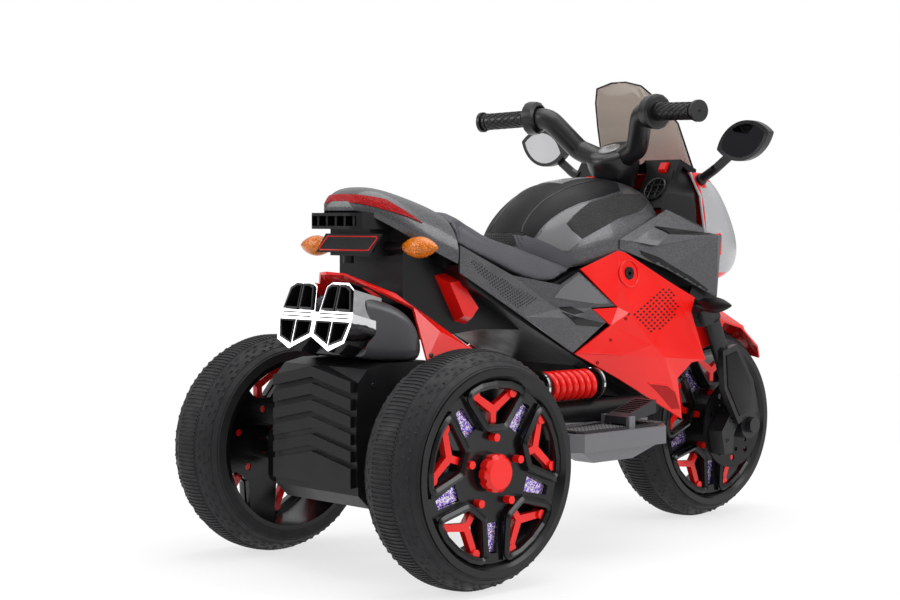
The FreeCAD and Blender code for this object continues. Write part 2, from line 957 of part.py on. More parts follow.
keep("tail_bracket", cut("tail_bracket", bracket_joined, [nodes["tail_cowl"]]))

plate = new_body("number_plate")
plate_sketch = new_sketch(plate, "plate_outline", "YZ_Plane", along(-28))
draw_outline(
    plate_sketch,
    [(-66, up(443)), (46, up(443)), (66, up(418)), (-46, up(418))],
)
pad(plate, plate_sketch, 3, reverse=True)
keep("number_plate", plate)


# Amber rear indicators: pointed lenses on the ends of the stalks
def lens_shape(root, length, height):
    """A pointed lens that runs out to the right from its root."""
    outline = [(0, 0.3), (0.2, 0.74), (0.48, 1.0), (0.76, 0.72), (1, 0.12)]
    rim = [root + Vector(0, -length * run, height / 2 * rise) for run, rise in outline]
    curve = Part.BSplineCurve()
    curve.interpolate(rim)
    tip = root - Vector(0, length, 0)
    edges = [
        curve.toShape(),
        Part.LineSegment(rim[-1], tip).toShape(),
        Part.LineSegment(tip, root).toShape(),
        Part.LineSegment(root, rim[0]).toShape(),
    ]
    lens = Part.Face(Part.Wire(edges)).revolve(root, Vector(0, 1, 0), 360)
    if lens.Volume < 0:
        lens.reverse()
    return lens


rear_lens = feature("rear_lens", lens_shape(point(1, -73, 426), 64, 28))
rear_lens_cut = cut("rear_lens_cut", rear_lens, [stalk_right])
keep("rear_indicators", pair("rear_indicators", rear_lens_cut))

# Red side panels with creases, over the sides of the block
PANEL_RIM = [
    (304, 104, 393),
    (380, 106, 418),
    (398, 106, 414),
    (486, 115, 370),
    (536, 118, 348),
    (524, 121, 328),
    (550, 127, 256),
    (519, 127, 254),
    (489, 125, 232),
    (502, 123, 172),
    (370, 115, 238),
    (289, 108, 276),
    (358, 112, 313),
    (325, 108, 337),
    (374, 111, 338),
]
PANEL_INNER = [(390, 118, 330), (431, 127, 284), (455, 130, 264), (373, 120, 270)]
PANEL_FACES = [
    (0, 14, 1),
    (1, 14, 15),
    (1, 15, 2),
    (2, 15, 3),
    (3, 15, 16),
    (3, 5, 4),
    (3, 6, 5),
    (3, 16, 6),
    (16, 17, 6),
    (17, 7, 6),
    (17, 8, 7),
    (17, 9, 8),
    (17, 10, 9),
    (18, 10, 17),
    (18, 11, 10),
    (12, 11, 18),
    (12, 18, 16),
    (18, 17, 16),
    (12, 16, 15),
    (13, 12, 14),
    (14, 12, 15),
]


def right(points):
    return [(a, -side, z) for a, side, z in points]


panel_shape = creased_panel(right(PANEL_RIM), right(PANEL_INNER), PANEL_FACES, panel_wall)
panel_blank = feature("panel_blank", panel_shape)
socket_x = along(398)
socket_z = up(386)
socket_hole = cylinder("socket_hole", dim("socket_radius") + seat_gap, 60, socket_x, -150, socket_z, Y_AXIS)
keep("side_panel_right", cut("side_panel_right", panel_blank, [socket_hole]))
keep("side_panel_left", mirrored("side_panel_left", panel_blank))

# Charging socket on the right side of the block, through the panel
socket_out = block_half + 16
socket_length = socket_out - block_half
socket_radius = dim("socket_radius")
socket_rod = cylinder("socket_rod", socket_radius, socket_length, socket_x, -socket_out, socket_z, Y_AXIS)
socket_bore = cylinder("socket_bore", dim("socket_bore"), 11, socket_x, -socket_out - 1, socket_z, Y_AXIS)
keep("charging_socket", cut("charging_socket", socket_rod, [socket_bore]))

# Loudspeaker behind the right panel, on the side of the block
speaker_x = along(444)
speaker_z = up(329)
speaker_rim = cylinder("speaker_rim", dim("speaker_radius"), 8, speaker_x, -block_half - 8, speaker_z, Y_AXIS)
cone_radius = dim("speaker_radius") - 6
speaker_cone = cylinder("speaker_cone", cone_radius, 5, speaker_x, -block_half - 8, speaker_z, Y_AXIS)
keep("speaker", cut("speaker", speaker_rim, [speaker_cone]))

# Dark wing fairings above the panels
WING_RIM = [
    (384, 105, 421),
    (384, 105, 434),
    (485, 106, 477),
    (592, 122, 440),
    (582, 122, 347),
    (476, 115, 391),
]
WING_INNER = [(410, 110, 431), (459, 110, 451), (472, 120, 438), (444, 118, 424), (580, 125, 438)]
WING_FACES = [
    (1, 0, 6),
    (1, 6, 7),
    (1, 7, 2),
    (2, 7, 10),
    (2, 10, 3),
    (7, 8, 10),
    (7, 6, 8),
    (6, 9, 8),
    (6, 0, 9),
    (9, 0, 5),
    (9, 5, 8),
    (8, 5, 10),
    (10, 5, 4),
    (10, 4, 3),
]
wing = creased_panel(right(WING_RIM), right(WING_INNER), WING_FACES, panel_wall)
keep("side_fairing_right", feature("side_fairing_right", wing.cut(tank_outer)))
keep("side_fairing_left", mirrored("side_fairing_left", nodes["side_fairing_right"]))

# Grey covers under the seat
COVER_RIM = [
    (76, 100, 428),
    (171, 102, 387),
    (265, 103, 372),
    (301, 104, 389),
    (370, 110, 340),
    (322, 107, 339),
    (349, 111, 318),
    (286, 107, 278),
    (192, 104, 330),
    (76, 100, 392),
]
COVER_INNER = [(254, 106, 339), (284, 112, 326), (180, 111, 362)]
COVER_FACES = [
    (0, 9, 12),
    (0, 12, 1),
    (9, 8, 12),
    (8, 10, 12),
    (12, 10, 1),
    (1, 10, 2),
    (2, 10, 5),
    (2, 5, 3),
    (3, 5, 4),
    (10, 11, 5),
    (5, 11, 6),
    (11, 7, 6),
    (8, 7, 11),
    (8, 11, 10),
]
cover = creased_panel(right(COVER_RIM), right(COVER_INNER), COVER_FACES, panel_wall)
keep("side_covers", pair("side_covers", feature("side_cover_right", cover)))
seat_supports = [nodes["side_covers"], nodes["frame_left"], nodes["frame_right"]]
keep("seat_cushion", cut("seat_cushion", seat_blank, seat_supports))

# Red pods on the seat column
POD_RIM = [(64, 388), (92, 392), (137, 340), (120, 322), (100, 326)]


def pod_shape():
    base = float(frame_half)
    low = [Vector(float(along(a)), -base, float(up(z))) for a, z in POD_RIM]
    middle = sum(low, Vector()) * (1 / len(low))
    high = [middle + (p - middle) * 0.72 - Vector(0, 18, 0) for p in low]
    ring = [Part.makePolygon(r + r[:1]) for r in (low, high)]
    return Part.makeLoft(ring, True, True)


pod_blank = feature("pod_blank", pod_shape())
keep("pods", pair("pods", cut("pod_right", pod_blank, [nodes["frame_right"]])))

# Muffler on the saddle of the axle housing, and its bright caps
MUFFLER = [(-58, 70, 286, 364), (-25, 82, 280, 354), (4, 88, 279, 336), (20, 84, 278.2, 314)]


def rounded_section(ahead, half, low, high, corner):
    x = float(along(ahead))
    z0, z1 = float(up(low)), float(up(high))
    s = corner * math.sqrt(0.5)
    inset = corner - s
    corners = [
        (-half, z0, 1, 1),
        (half, z0, -1, 1),
        (half, z1, -1, -1),
        (-half, z1, 1, -1),
    ]
    edges = []
    ends = []
    for y, z, sy, sz in corners:
        along_y = Vector(x, y + sy * corner, z)
        along_z = Vector(x, y, z + sz * corner)
        middle = Vector(x, y + sy * inset, z + sz * inset)
        first, last = (along_z, along_y) if sy == sz else (along_y, along_z)
        ends.append((first, last))
        edges.append(Part.Arc(first, middle, last).toShape())
    wire = []
    for i in range(4):
        wire.append(edges[i])
        wire.append(Part.LineSegment(ends[i][1], ends[(i + 1) % 4][0]).toShape())
    return Part.Wire(wire)


muffler = loft([rounded_section(a, half, low, high, 16) for a, half, low, high in MUFFLER])
keep("muffler", feature("muffler", muffler))


def prism(outline, base, depth):
    """A bar along -X with an outline of (side, height) points, from its front end."""
    ring = [Vector(base.x, y, base.z + w) for y, w in outline]
    return Part.Face(Part.makePolygon(ring + ring[:1])).extrude(Vector(-depth, 0, 0))


CHIMNEY = [(4, 48), (10, 84), (20, 90), (52, 90), (64, 82), (72, 48)]
CHIMNEY_HOLES = [
    [(10, 54), (15, 82), (22, 86), (35, 86), (35, 54)],
    [(39, 54), (39, 86), (50, 86), (60, 80), (67, 54)],
]
LOWER_CAP = [(-74, 50), (-74, 34), (-68, 12), (-40, 0), (0, 18), (40, 0), (68, 12), (74, 34), (74, 50)]
LOWER_HOLES = [
    [(6, 38), (6, 22), (34, 10), (34, 38)],
    [(39, 38), (39, 8), (62, 16), (69, 38)],
]
cap_depth = 50
cap_tilt = 15


def other_side(outline):
    return [(-y, w) for y, w in outline]


def pipe_caps():
    """Bright mouths of the pipes: two chimneys over a lower row, hollow from the back."""
    base = point(-50, 0, 281)
    solid = prism(LOWER_CAP, base, cap_depth)
    hollow_base = base - Vector(8, 0, 0)
    holes = []
    for outline in [CHIMNEY, other_side(CHIMNEY)]:
        solid = solid.fuse(prism(outline, base, cap_depth - 2))
    for outline in CHIMNEY_HOLES + LOWER_HOLES:
        holes.append(prism(outline, hollow_base, cap_depth))
        holes.append(prism(other_side(outline), hollow_base, cap_depth))
    caps = solid.cut(Part.makeCompound(holes)).removeSplitter()
    caps.rotate(base, Vector(0, 1, 0), cap_tilt)
    return caps


caps_shape = pipe_caps()
keep("pipe_caps", feature("pipe_caps", caps_shape.cut(muffler)))

# Red rear mudguard: a raised tail that splits into two arms beside the seat column
GUARD_RIM = [
    (-68, 0, 394),
    (-58, -26, 392),
    (-40, -50, 378),
    (12, -80, 348),
    (20, -98, 281),
    (98, -102, 290),
    (44, -70.2, 336),
    (-6, -65.7, 366),
    (-34, 0, 384),
]
GUARD_INNER = [(46, -94, 316)]
GUARD_FACES = [
    (0, 1, 8),
    (1, 7, 8),
    (1, 2, 7),
    (2, 3, 7),
    (3, 6, 7),
    (3, 9, 6),
    (3, 4, 9),
    (4, 5, 9),
    (5, 6, 9),
]
guard_inward = Vector(0, 2.6, -2.6)


def guard_half():
    """Right half of the mudguard; its back lies inwards and below its front."""
    front = [point(*p) for p in GUARD_RIM + GUARD_INNER]
    back = [p + (guard_inward if p.y < -1 else Vector(0, 0, -4)) for p in front]
    count = len(front)
    shell = [tuple(face) for face in GUARD_FACES]
    shell += [tuple(i + count for i in reversed(face)) for face in GUARD_FACES]
    edges = len(GUARD_RIM)
    for i in range(edges):
        j = (i + 1) % edges
        shell.append((j, i, i + count))
        shell.append((j, i + count, j + count))
    return triangles_solid(front + back, shell)


guard_right = feature("guard_right", guard_half())
guard_left = mirrored("guard_left", guard_right)
keep("rear_mudguard", fuse("rear_mudguard", [guard_right, guard_left]))

# Coil springs beside the frame, between the arms and the block, each round a damper
spring_radius = dim("spring_coil_radius")
spring_wire = dim("spring_wire")
spring_outer = spring_radius + spring_wire
spring_y = block_half + spring_outer + 2
spring_z = arm_z + arm_radius + spring_outer + 2
spring_x = along(210)
spring_length = dim("spring_length")
X_AXIS = Vector(1, 0, 0)


def arc_from(start, way, end):
    """The arc that leaves start along way and reaches end, and its direction there."""
    chord = end - start
    normal = (chord - way * chord.dot(way)).normalize()
    half_turn = math.atan2(chord.dot(normal), chord.dot(way))
    radius = chord.Length / (2 * math.sin(half_turn))
    middle = start + way * (radius * math.sin(half_turn)) + normal * (radius * (1 - math.cos(half_turn)))
    leaving = way * math.cos(2 * half_turn) + normal * math.sin(2 * half_turn)
    return Part.Arc(start, middle, end).toShape(), leaving


def helix_point(turns, radius, pitch):
    angle = 2 * math.pi * turns
    return Vector(pitch * turns, radius * math.cos(angle), radius * math.sin(angle))


def helix_way(turns, radius, pitch):
    angle = 2 * math.pi * turns
    round_turn = 2 * math.pi * radius
    return Vector(pitch, -round_turn * math.sin(angle), round_turn * math.cos(angle)).normalize()


def coil():
    """One unbroken tube along a helix of quarter turns, each turn piece two arcs, with straight ends."""
    radius, wire = float(spring_radius), float(spring_wire)
    turns = float(dim("spring_turns"))
    quarters = int(4 * turns)
    overhang = wire
    for _ in range(20):
        pitch = (float(spring_length) - 2 * overhang) / turns
        slope = math.atan2(pitch, 2 * math.pi * radius)
        overhang = 2 * wire * math.sin(slope) + wire * math.cos(slope)
    first_way = helix_way(0, radius, pitch)
    start = helix_point(0, radius, pitch)
    edges = [Part.LineSegment(start - first_way * (2 * wire), start).toShape()]
    for i in range(quarters):
        a, b = helix_point(i / 4, radius, pitch), helix_point((i + 1) / 4, radius, pitch)
        t0, t1 = helix_way(i / 4, radius, pitch), helix_way((i + 1) / 4, radius, pitch)
        span, both = b - a, t0 + t1
        bend = 2 * (1 - t0.dot(t1))
        reach = (-span.dot(both) + math.sqrt(span.dot(both) ** 2 + bend * span.dot(span))) / bend
        join = (a + b + (t0 - t1) * reach) * 0.5
        first, way = arc_from(a, t0, join)
        second, way = arc_from(join, way, b)
        edges += [first, second]
    last = helix_point(quarters / 4, radius, pitch)
    last_way = helix_way(quarters / 4, radius, pitch)
    edges.append(Part.LineSegment(last, last + last_way * (2 * wire)).toShape())
    spine = Part.Wire(edges)
    ring = Part.Wire(Part.makeCircle(wire, edges[0].Vertexes[0].Point, first_way))
    samples = [helix_point(k / 24, radius, pitch) for k in range(quarters * 6 + 1)]
    least = min(
        (samples[i] - samples[j]).Length
        for i in range(len(samples))
        for j in range(i + 12, min(len(samples), i + 40))
    )
    print("spring: least gap between turns", round(least - 2 * wire, 2), "mm")
    shape = spine.makePipeShell([ring], True, False)
    shape.translate(Vector(float(spring_x) + overhang, -float(spring_y), float(spring_z)))
    return shape


spring_right = feature("spring_right", coil())
keep("springs", pair("springs", spring_right))
cup_width = 5
spring_end = spring_x + spring_length + seat_gap
cup_rear_x = spring_x - seat_gap - cup_width
cup_rear = cylinder("cup_rear", spring_outer, cup_width, cup_rear_x, -spring_y, spring_z, X_AXIS)
cup_front = cylinder("cup_front", spring_outer, cup_width, spring_end, -spring_y, spring_z, X_AXIS)
damper_rod = cylinder(
    "damper_rod", dim("damper_radius"), spring_length + 24, spring_x - 12, -spring_y, spring_z, X_AXIS
)
damper_foot = box(
    "damper_foot", cup_rear_x - 14, cup_rear_x, -spring_y - 7, -spring_y + 7, arm_z, spring_z + 9
)
damper_lug = box(
    "damper_lug",
    spring_end + cup_width,
    spring_end + cup_width + 14,
    -spring_y - 7,
    -block_half,
    spring_z - 7,
    spring_z + 7,
)
damper_joined = fuse("damper_joined", [damper_rod, cup_rear, cup_front, damper_foot, damper_lug])
damper_right = cut("damper_right", damper_joined, [arm_right])
keep("dampers", pair("dampers", damper_right))

# Footrests under the frame, with mats on top
foot_top = up(dim("foot_top"))
foot_low = foot_top - dim("foot_height")
foot_half = dim("foot_half")


def footrest(name):
    """Right half of the footrest, out from the middle plane."""
    body = new_body(name)
    sketch = new_sketch(body, name + "_plan", "XY_Plane", foot_low)
    outline = [
        (along(358), sized(0)),
        (along(352), -sized(100)),
        (along(206), -sized(132)),
        (along(200), 14 - foot_half),
        (along(214), -foot_half),
        (along(380), -foot_half),
        (along(404), 24 - foot_half),
        (along(414), -sized(110)),
        (along(452), -sized(100)),
        (along(452), sized(0)),
    ]
    draw_outline(sketch, outline)
    pad(body, sketch, dim("foot_height"))
    return body


def keel_shape():
    """The tapered belly under the outer part of the footrest."""
    drop = 18
    rings = [
        [Vector(float(along(a)), inward - float(foot_half), float(foot_low) - low) for a, inward in ring]
        for low, ring in (
            (0, [(216, 8), (372, 8), (372, 66), (216, 58)]),
            (drop, [(250, 18), (330, 18), (330, 56), (250, 52)]),
        )
    ]
    return Part.makeLoft([Part.makePolygon(ring + ring[:1]) for ring in rings], True, True)


foot_right = fuse("foot_right", [footrest("foot_body"), feature("keel", keel_shape())])
foot_left = mirrored("foot_left", foot_right)

mat = new_body("mat")
mat_sketch = new_sketch(mat, "mat_plan", "XY_Plane", foot_top)
draw_outline(
    mat_sketch,
    [
        (along(214), 16 - foot_half),
        (along(222), 8 - foot_half),
        (along(372), 8 - foot_half),
        (along(394), 28 - foot_half),
        (along(400), -sized(134)),
        (along(214), -sized(138)),
    ],
)
pad(mat, mat_sketch, dim("mat_height"))
pedal_length = dim("pedal_length")
pedal_width = dim("pedal_width")
pedal_x = along(318)
pedal_y = 34 - foot_half
mat_top = foot_top + dim("mat_height")
pin_z = mat_top + 8
keep("foot_mat_left", mirrored("foot_mat_left", mat))

# Accelerator pedal on the right footrest: a wedge hinged at its back edge
pedal_low = mat_top + 3
wedge = new_body("wedge")
wedge_sketch = new_sketch(wedge, "wedge_side", "XZ_Plane")
draw_outline(
    wedge_sketch,
    [
        (pedal_x - 6, pedal_low),
        (pedal_x + pedal_length, pedal_low + 12),
        (pedal_x + pedal_length, pedal_low + 30),
        (pedal_x - 6, pedal_low + 10),
    ],
)
pad(wedge, wedge_sketch, pedal_width, middle=True)
place(wedge, 0, pedal_y, 0)
pin_radius = dim("pedal_pin")
pin_hole = cylinder(
    "pin_hole",
    pin_radius + dim("running_gap"),
    pedal_width * 2,
    pedal_x,
    pedal_y - pedal_width,
    pin_z,
    Y_AXIS,
)
keep("pedal", cut("pedal", wedge, [pin_hole]))
pin = cylinder(
    "pin", pin_radius, pedal_width + 14, pedal_x, pedal_y - pedal_width / 2 - 7, pin_z, Y_AXIS
)
lug_half = 3
lugs = []
lug_rooms = []
for i, side in enumerate((-(pedal_width / 2 + 4), pedal_width / 2 + 4)):
    near = pedal_y + side - lug_half
    far = pedal_y + side + lug_half
    lugs.append(box(f"lug_{i}", pedal_x - 6, pedal_x + 6, near, far, foot_top, pin_z + 6))
    lug_rooms.append(
        box(f"lug_room_{i}", pedal_x - 6.3, pedal_x + 6.3, near - 0.3, far + 0.3, foot_top - 1, mat_top + 1)
    )
keep("foot_mat_right", cut("foot_mat_right", mat, lug_rooms))
keep("footrest", fuse("footrest", [foot_right, foot_left, pin] + lugs))

# Front cowl: a hollow nose ahead of the frame, lofted upwards through plan outlines
COWL = [
    (374, 570, 108, 660),
    (404, 562, 119, 724),
    (440, 556, 121, 720),
    (497, 548, 118, 672),
    (532, 546, 100, 630),
]


def plan_outline(height, rear, half, nose):
    z = height
    points = [
        point(rear, half, z),
        point(rear + (nose - rear) * 0.35, half * 0.97, z),
        point(rear + (nose - rear) * 0.8, half * 0.55, z),
        point(nose, 0, z),
        point(rear + (nose - rear) * 0.8, -half * 0.55, z),
        point(rear + (nose - rear) * 0.35, -half * 0.97, z),
        point(rear, -half, z),
    ]
    curve = Part.BSplineCurve()
    curve.interpolate(points)
    return Part.Wire([curve.toShape(), Part.LineSegment(points[-1], points[0]).toShape()])


cowl_outer = loft([plan_outline(z, rear, half, nose) for z, rear, half, nose in COWL])
cowl_inner = loft([plan_outline(z, rear - 20, half - 4, nose - 6) for z, rear, half, nose in COWL])
cowl_room = Part.makeBox(400, 400, 152, point(500, -200, 378))
cowl_shell = cowl_outer.cut(cowl_inner.common(cowl_room))
stem_sweep = Part.makeCylinder(34, 400, on_axis(200), AXIS)
wing_left = wing.mirror(Vector(), Vector(0, 1, 0))
cowl_shell = cowl_shell.cut(stem_sweep).cut(nodes["frame_left"].Shape).cut(nodes["frame_right"].Shape)
lamp_zone = loft([plan_outline(z, 640, 62, nose) for z, nose in ((410, 900), (448, 900))])
lamp = cowl_shell.common(lamp_zone)
mirror_foot = point(556, -112, 522)
mirror_ball = 9
ball_room = Part.makeSphere(mirror_ball + float(side_gap), mirror_foot)
ball_rooms = ball_room.fuse(ball_room.mirror(Vector(), Vector(0, 1, 0)))
cowl_whole = cowl_shell.cut(lamp_zone).cut(wing).cut(wing_left).cut(ball_rooms)
keep("front_cowl", feature("front_cowl", cowl_whole))
keep("headlight", feature("headlight", lamp))

# Windscreen: a curved sheet that wraps round the dash
SCREEN = [
    (532.3, 566, 90, 612),
    (605, 540, 80, 566),
    (640, 514, 61, 530),
    (660, 498, 44, 508),
    (667, 497, 14, 501),
]


def screen_arc(height, rear, half, nose, inset):
    side = half - inset
    ends = [point(rear, side, height), point(nose - inset, 0, height), point(rear, -side, height)]
    return Part.Arc(*ends).toShape()


def screen_shape():
    outlines = []
    for height, rear, half, nose in SCREEN:
        outer = screen_arc(height, rear, half, nose, 0)
        inner = screen_arc(height, rear, half, nose, 2.5)
        first = Part.LineSegment(outer.Vertexes[-1].Point, inner.Vertexes[-1].Point).toShape()
        last = Part.LineSegment(inner.Vertexes[0].Point, outer.Vertexes[0].Point).toShape()
        outlines.append(Part.Wire([outer, first, inner, last]))
    return Part.makeLoft(outlines, True, True)


keep("windscreen", feature("windscreen", screen_shape()))

# Dash panel behind the screen, facing the rider, with a gap for the steering
DASH = [(478, 480), (524, 551), (560, 537), (560, 532.3), (545, 532.3), (529, 541), (489, 477)]
dash_half = 99
DASH_WALL = [(432, 114), (500, 110), (536, 91)]
WALL_SIDE = [(470, 420), (552, 420), (552, 548), (526, 556), (478, 488)]


def dash_wall():
    """Right wall of the dash, from the front corner of the tank to the edge of the cowl."""
    rings = []
    for height, out in DASH_WALL:
        plan = [(481, 99), (545, out), (545, out - 4), (486, 95)]
        ring = [point(a, -side, height) for a, side in plan]
        rings.append(Part.makePolygon(ring + ring[:1]))
    side_ring = [point(a, -200, z) for a, z in WALL_SIDE]
    side_view = Part.Face(Part.makePolygon(side_ring + side_ring[:1])).extrude(Vector(0, 400, 0))
    return Part.makeLoft(rings, True, True).common(side_view)


def dash_shape():
    ring = [point(a, -dash_half, z) for a, z in DASH]
    block = Part.Face(Part.makePolygon(ring + ring[:1])).extrude(Vector(0, 2 * dash_half, 0))
    block = block.cut(Part.makeCylinder(46, 400, on_axis(300), AXIS))
    wall = dash_wall()
    whole = block.fuse([wall, wall.mirror(Vector(), Vector(0, 1, 0))])
    frame_front = [nodes["frame_left"].Shape, nodes["frame_right"].Shape]
    return whole.cut(frame_front + [wing, wing_left, cowl_whole, ball_rooms]).removeSplitter()


dash_blank = dash_shape().cut(tank_outer)
keep("dash_panel", feature("dash_panel", dash_blank))

# Front indicators: dark leaves on stalks under the wings
front_lens = lens_shape(point(540, -118, 338), 64, 24)
front_stalk = Part.makeCylinder(5, 30, point(540, -float(block_half), 338), Vector(0, -1, 0))
front_indicator = feature("front_indicator", front_lens.fuse(front_stalk).removeSplitter())
keep("front_indicators", pair("front_indicators", front_indicator))

# Steering. Drawn upright with Z along the steering axis and the front axle at the origin, then raked.
steering_at = Placement(axle_front, steer_axis)


def steered(name, shape):
    obj = feature(name, shape)
    obj.Placement = steering_at
    return keep(name, obj)


leg_offset = float(dim("leg_offset"))
leg_radius = float(dim("leg_radius"))
yoke_low = 178
yoke_high = 202
yoke_half = leg_offset + 10
eye_in = float(dim("disc_offset") + dim("disc_width")) + 3.5
eye_out = leg_offset + leg_radius + 3
nut_y = eye_out + 10


def upright_cylinder(radius, x, y, z0, z1):
    return Part.makeCylinder(radius, z1 - z0, Vector(x, y, z0))


def crosswise(radius, y0, y1, x=0, z=0):
    return Part.makeCylinder(radius, y1 - y0, Vector(x, y0, z), Vector(0, 1, 0))


def fork_leg(side):
    tube_part = upright_cylinder(leg_radius, 0, side * leg_offset, -8, yoke_low)
    low, high = sorted((side * eye_in, side * eye_out))
    eye = crosswise(21, low, high)
    near, far = sorted((side * (leg_offset + 8), side * (leg_offset + 18)))
    guard = Part.makePolygon(
        [
            Vector(-26, near, 16),
            Vector(24, near, 10),
            Vector(34, near, 60),
            Vector(20, near, 128),
            Vector(-14, near, 134),
            Vector(-34, near, 80),
            Vector(-26, near, 16),
        ]
    )
    blade = Part.Face(guard).extrude(Vector(0, far - near, 0))
    hole = crosswise(float(axle_radius), low - 1, high + 1)
    return tube_part.fuse([eye, blade]).cut(hole).removeSplitter()


for name, side in (("fork_left", 1), ("fork_right", -1)):
    steered(name, fork_leg(side))


def yoke_shape():
    bar = Part.makeBox(44, 2 * yoke_half, yoke_high - yoke_low, Vector(-22, -yoke_half, yoke_low))
    bar = bar.makeFillet(16, [e for e in bar.Edges if e.BoundBox.ZLength > 10])
    stem = upright_cylinder(float(dim("stem_radius")), 0, 0, yoke_high, 436)
    washer = upright_cylinder(20, 0, 0, yoke_high, head_foot - 0.5)
    return bar.fuse([stem, washer]).removeSplitter()


steered("yoke", yoke_shape())


def front_axle_shape():
    rod = crosswise(float(axle_radius), -nut_y + 8, nut_y - 8)
    hub_end = float(spoke_face) + 6 + float(side_gap)
    spacer_left = crosswise(11, hub_end, eye_in)
    spacer_right = crosswise(11, -eye_in, -eye_in + 1.1)
    nuts = []
    for side in (-1, 1):
        low, high = sorted((side * eye_out, side * nut_y))
        nuts.append(crosswise(12, low, high))
    return rod.fuse([spacer_left, spacer_right] + nuts).removeSplitter()


steered("front_axle", front_axle_shape())


# Brake disc on the right face of the front wheel, turning with it
def brake_disc():
    body = new_body("brake_disc")
    profile = new_sketch(body, "disc_profile", "XY_Plane")
    offset = dim("disc_offset")
    width = dim("disc_width")
    radius = dim("disc_radius")
    low = spoke_face + seat_gap
    points = [
        (bore_radius, low),
        (hub_radius, low),
        (hub_radius, offset),
        (radius, offset),
        (radius, offset + width),
        (hub_radius - 6, offset + width),
        (hub_radius - 6, offset + width + 2),
        (bore_radius, offset + width + 2),
    ]
    draw_outline(profile, points)
    revolve(body, profile)
    hole = new_sketch(body, "disc_hole", "XZ_Plane")
    draw_circle(hole, 0, radius * 0.78, 5)
    draw_circle(hole, radius * 0.12, radius * 0.6, 3.5)
    drilled = pocket(body, hole)
    around(body, [drilled], hole, dim("spoke_count") * 2)
    return body


keep("brake_disc", place(brake_disc(), front_x, 0, axle_z, Rotation(Vector(0, 0, 1), 180)))


def caliper_shape():
    """A block on the right leg that straddles the rim of the disc, behind the leg."""
    y0 = -float(dim("disc_offset") + dim("disc_width")) - 1.5
    outline = [(-16, 40), (-58, 20), (-66, -16), (-48, -22), (-34, 2), (-14, 14)]
    ring = [Vector(x, y0, z) for x, z in outline]
    body = Part.Face(Part.makePolygon(ring + ring[:1])).extrude(Vector(0, -26, 0))
    return body


# Rows over the front tyre: angle up from straight ahead, heights of edge, shoulder and crown, half width
GUARD_ROWS = [
    (120, -8, -1, 6, 50),
    (90, -6, 5, 12, 58),
    (62, -5, 6, 15, 58),
    (44, -6, 6, 22, 55),
    (22, -8, 0, 31, 50),
    (13, -9, -5, -3, 42),
]
CHEEK = [(-30, 150), (-22, 177), (30, 177), (44, 152), (20, 134), (-14, 138)]
guard_radius = float(tyre_radius + dim("guard_gap"))
guard_wall = 3


def round_tyre(angle, radius, side):
    theta = math.radians(angle)
    return Vector(math.cos(theta) * radius, side, math.sin(theta) * radius)


def guard_rows(inward):
    rows = []
    for angle, edge, shoulder, crown, half in GUARD_ROWS:
        row = []
        for share, height in ((1, edge), (0.55, shoulder), (0, crown), (-0.55, shoulder), (-1, edge)):
            row.append(round_tyre(angle, guard_radius + height - inward, half * share))
        rows.append(row)
    return rows


def faceted_sheet(front, back):
    """A sheet of flat facets between two grids of points, with the facets mirrored about its middle."""
    rows = len(front)
    across = len(front[0])
    count = rows * across
    shell = []
    for i in range(rows - 1):
        for j in range(across - 1):
            a = i * across + j
            b = a + across
            halves = [(a, a + 1, b), (a + 1, b + 1, b)]
            if j >= across // 2:
                halves = [(a, a + 1, b + 1), (a, b + 1, b)]
            for face in halves:
                shell.append(face)
                shell.append(tuple(k + count for k in reversed(face)))
    rim = list(range(across - 1))
    rim += [i * across + across - 1 for i in range(rows - 1)]
    rim += list(range(count - 1, count - across, -1))
    rim += [i * across for i in range(rows - 1, 0, -1)]
    for a, b in zip(rim, rim[1:] + rim[:1]):
        shell.append((b, a, a + count))
        shell.append((b, a + count, b + count))
    return triangles_solid([p for row in front + back for p in row], shell)


def mudguard_shape():
    """Front mudguard: a faceted blade over the tyre that rises to a beak, and a cheek inside each leg."""
    blade = faceted_sheet(guard_rows(0), guard_rows(guard_wall))
    cheek_in = float(tyre_half) + 6
    cheek_out = leg_offset - leg_radius - 3
    ring = [Vector(x, cheek_in, z) for x, z in CHEEK]
    cheek = Part.Face(Part.makePolygon(ring + ring[:1])).extrude(Vector(0, cheek_out - cheek_in, 0))
    return blade.fuse([cheek, cheek.mirror(Vector(), Vector(0, 1, 0))])


front_guard = mudguard_shape()
yoke_solid = Part.makeBox(44, 2 * yoke_half, yoke_high - yoke_low, Vector(-22, -yoke_half, yoke_low))
guard_post = Part.makeBox(30, 60, 10, Vector(-15, -30, yoke_low - 10))
steered("front_mudguard", front_guard.fuse(guard_post).cut(yoke_solid))
steered("caliper", caliper_shape().cut(fork_leg(-1)))


# Handlebar: a round boss on the stem with two arms that sweep up to the grips
def bent_bar(corners, bend, radius):
    """A round bar along straight runs joined by bends."""
    edges = []
    start = corners[0]
    for before, corner, after in zip(corners, corners[1:], corners[2:]):
        back = (before - corner).normalize()
        ahead = (after - corner).normalize()
        half_angle = back.getAngle(ahead) / 2
        run = bend / math.tan(half_angle)
        enter, leave = corner + back * run, corner + ahead * run
        bisector = (back + ahead).normalize()
        middle = corner + bisector * (bend / math.sin(half_angle) - bend)
        edges.append(Part.LineSegment(start, enter).toShape())
        edges.append(Part.Arc(enter, middle, leave).toShape())
        start = leave
    edges.append(Part.LineSegment(start, corners[-1]).toShape())
    ring = Part.Wire(Part.makeCircle(radius, corners[0], corners[1] - corners[0]))
    return Part.Wire(edges).makePipeShell([ring], True, False)


keel_low = 398
boss_low = 428
boss_high = 460
grip_root = Vector(-14, 126, 521)
grip_run = Vector(-16, 88, 4)


def sided(vector, side):
    return Vector(vector.x, side * vector.y, vector.z)


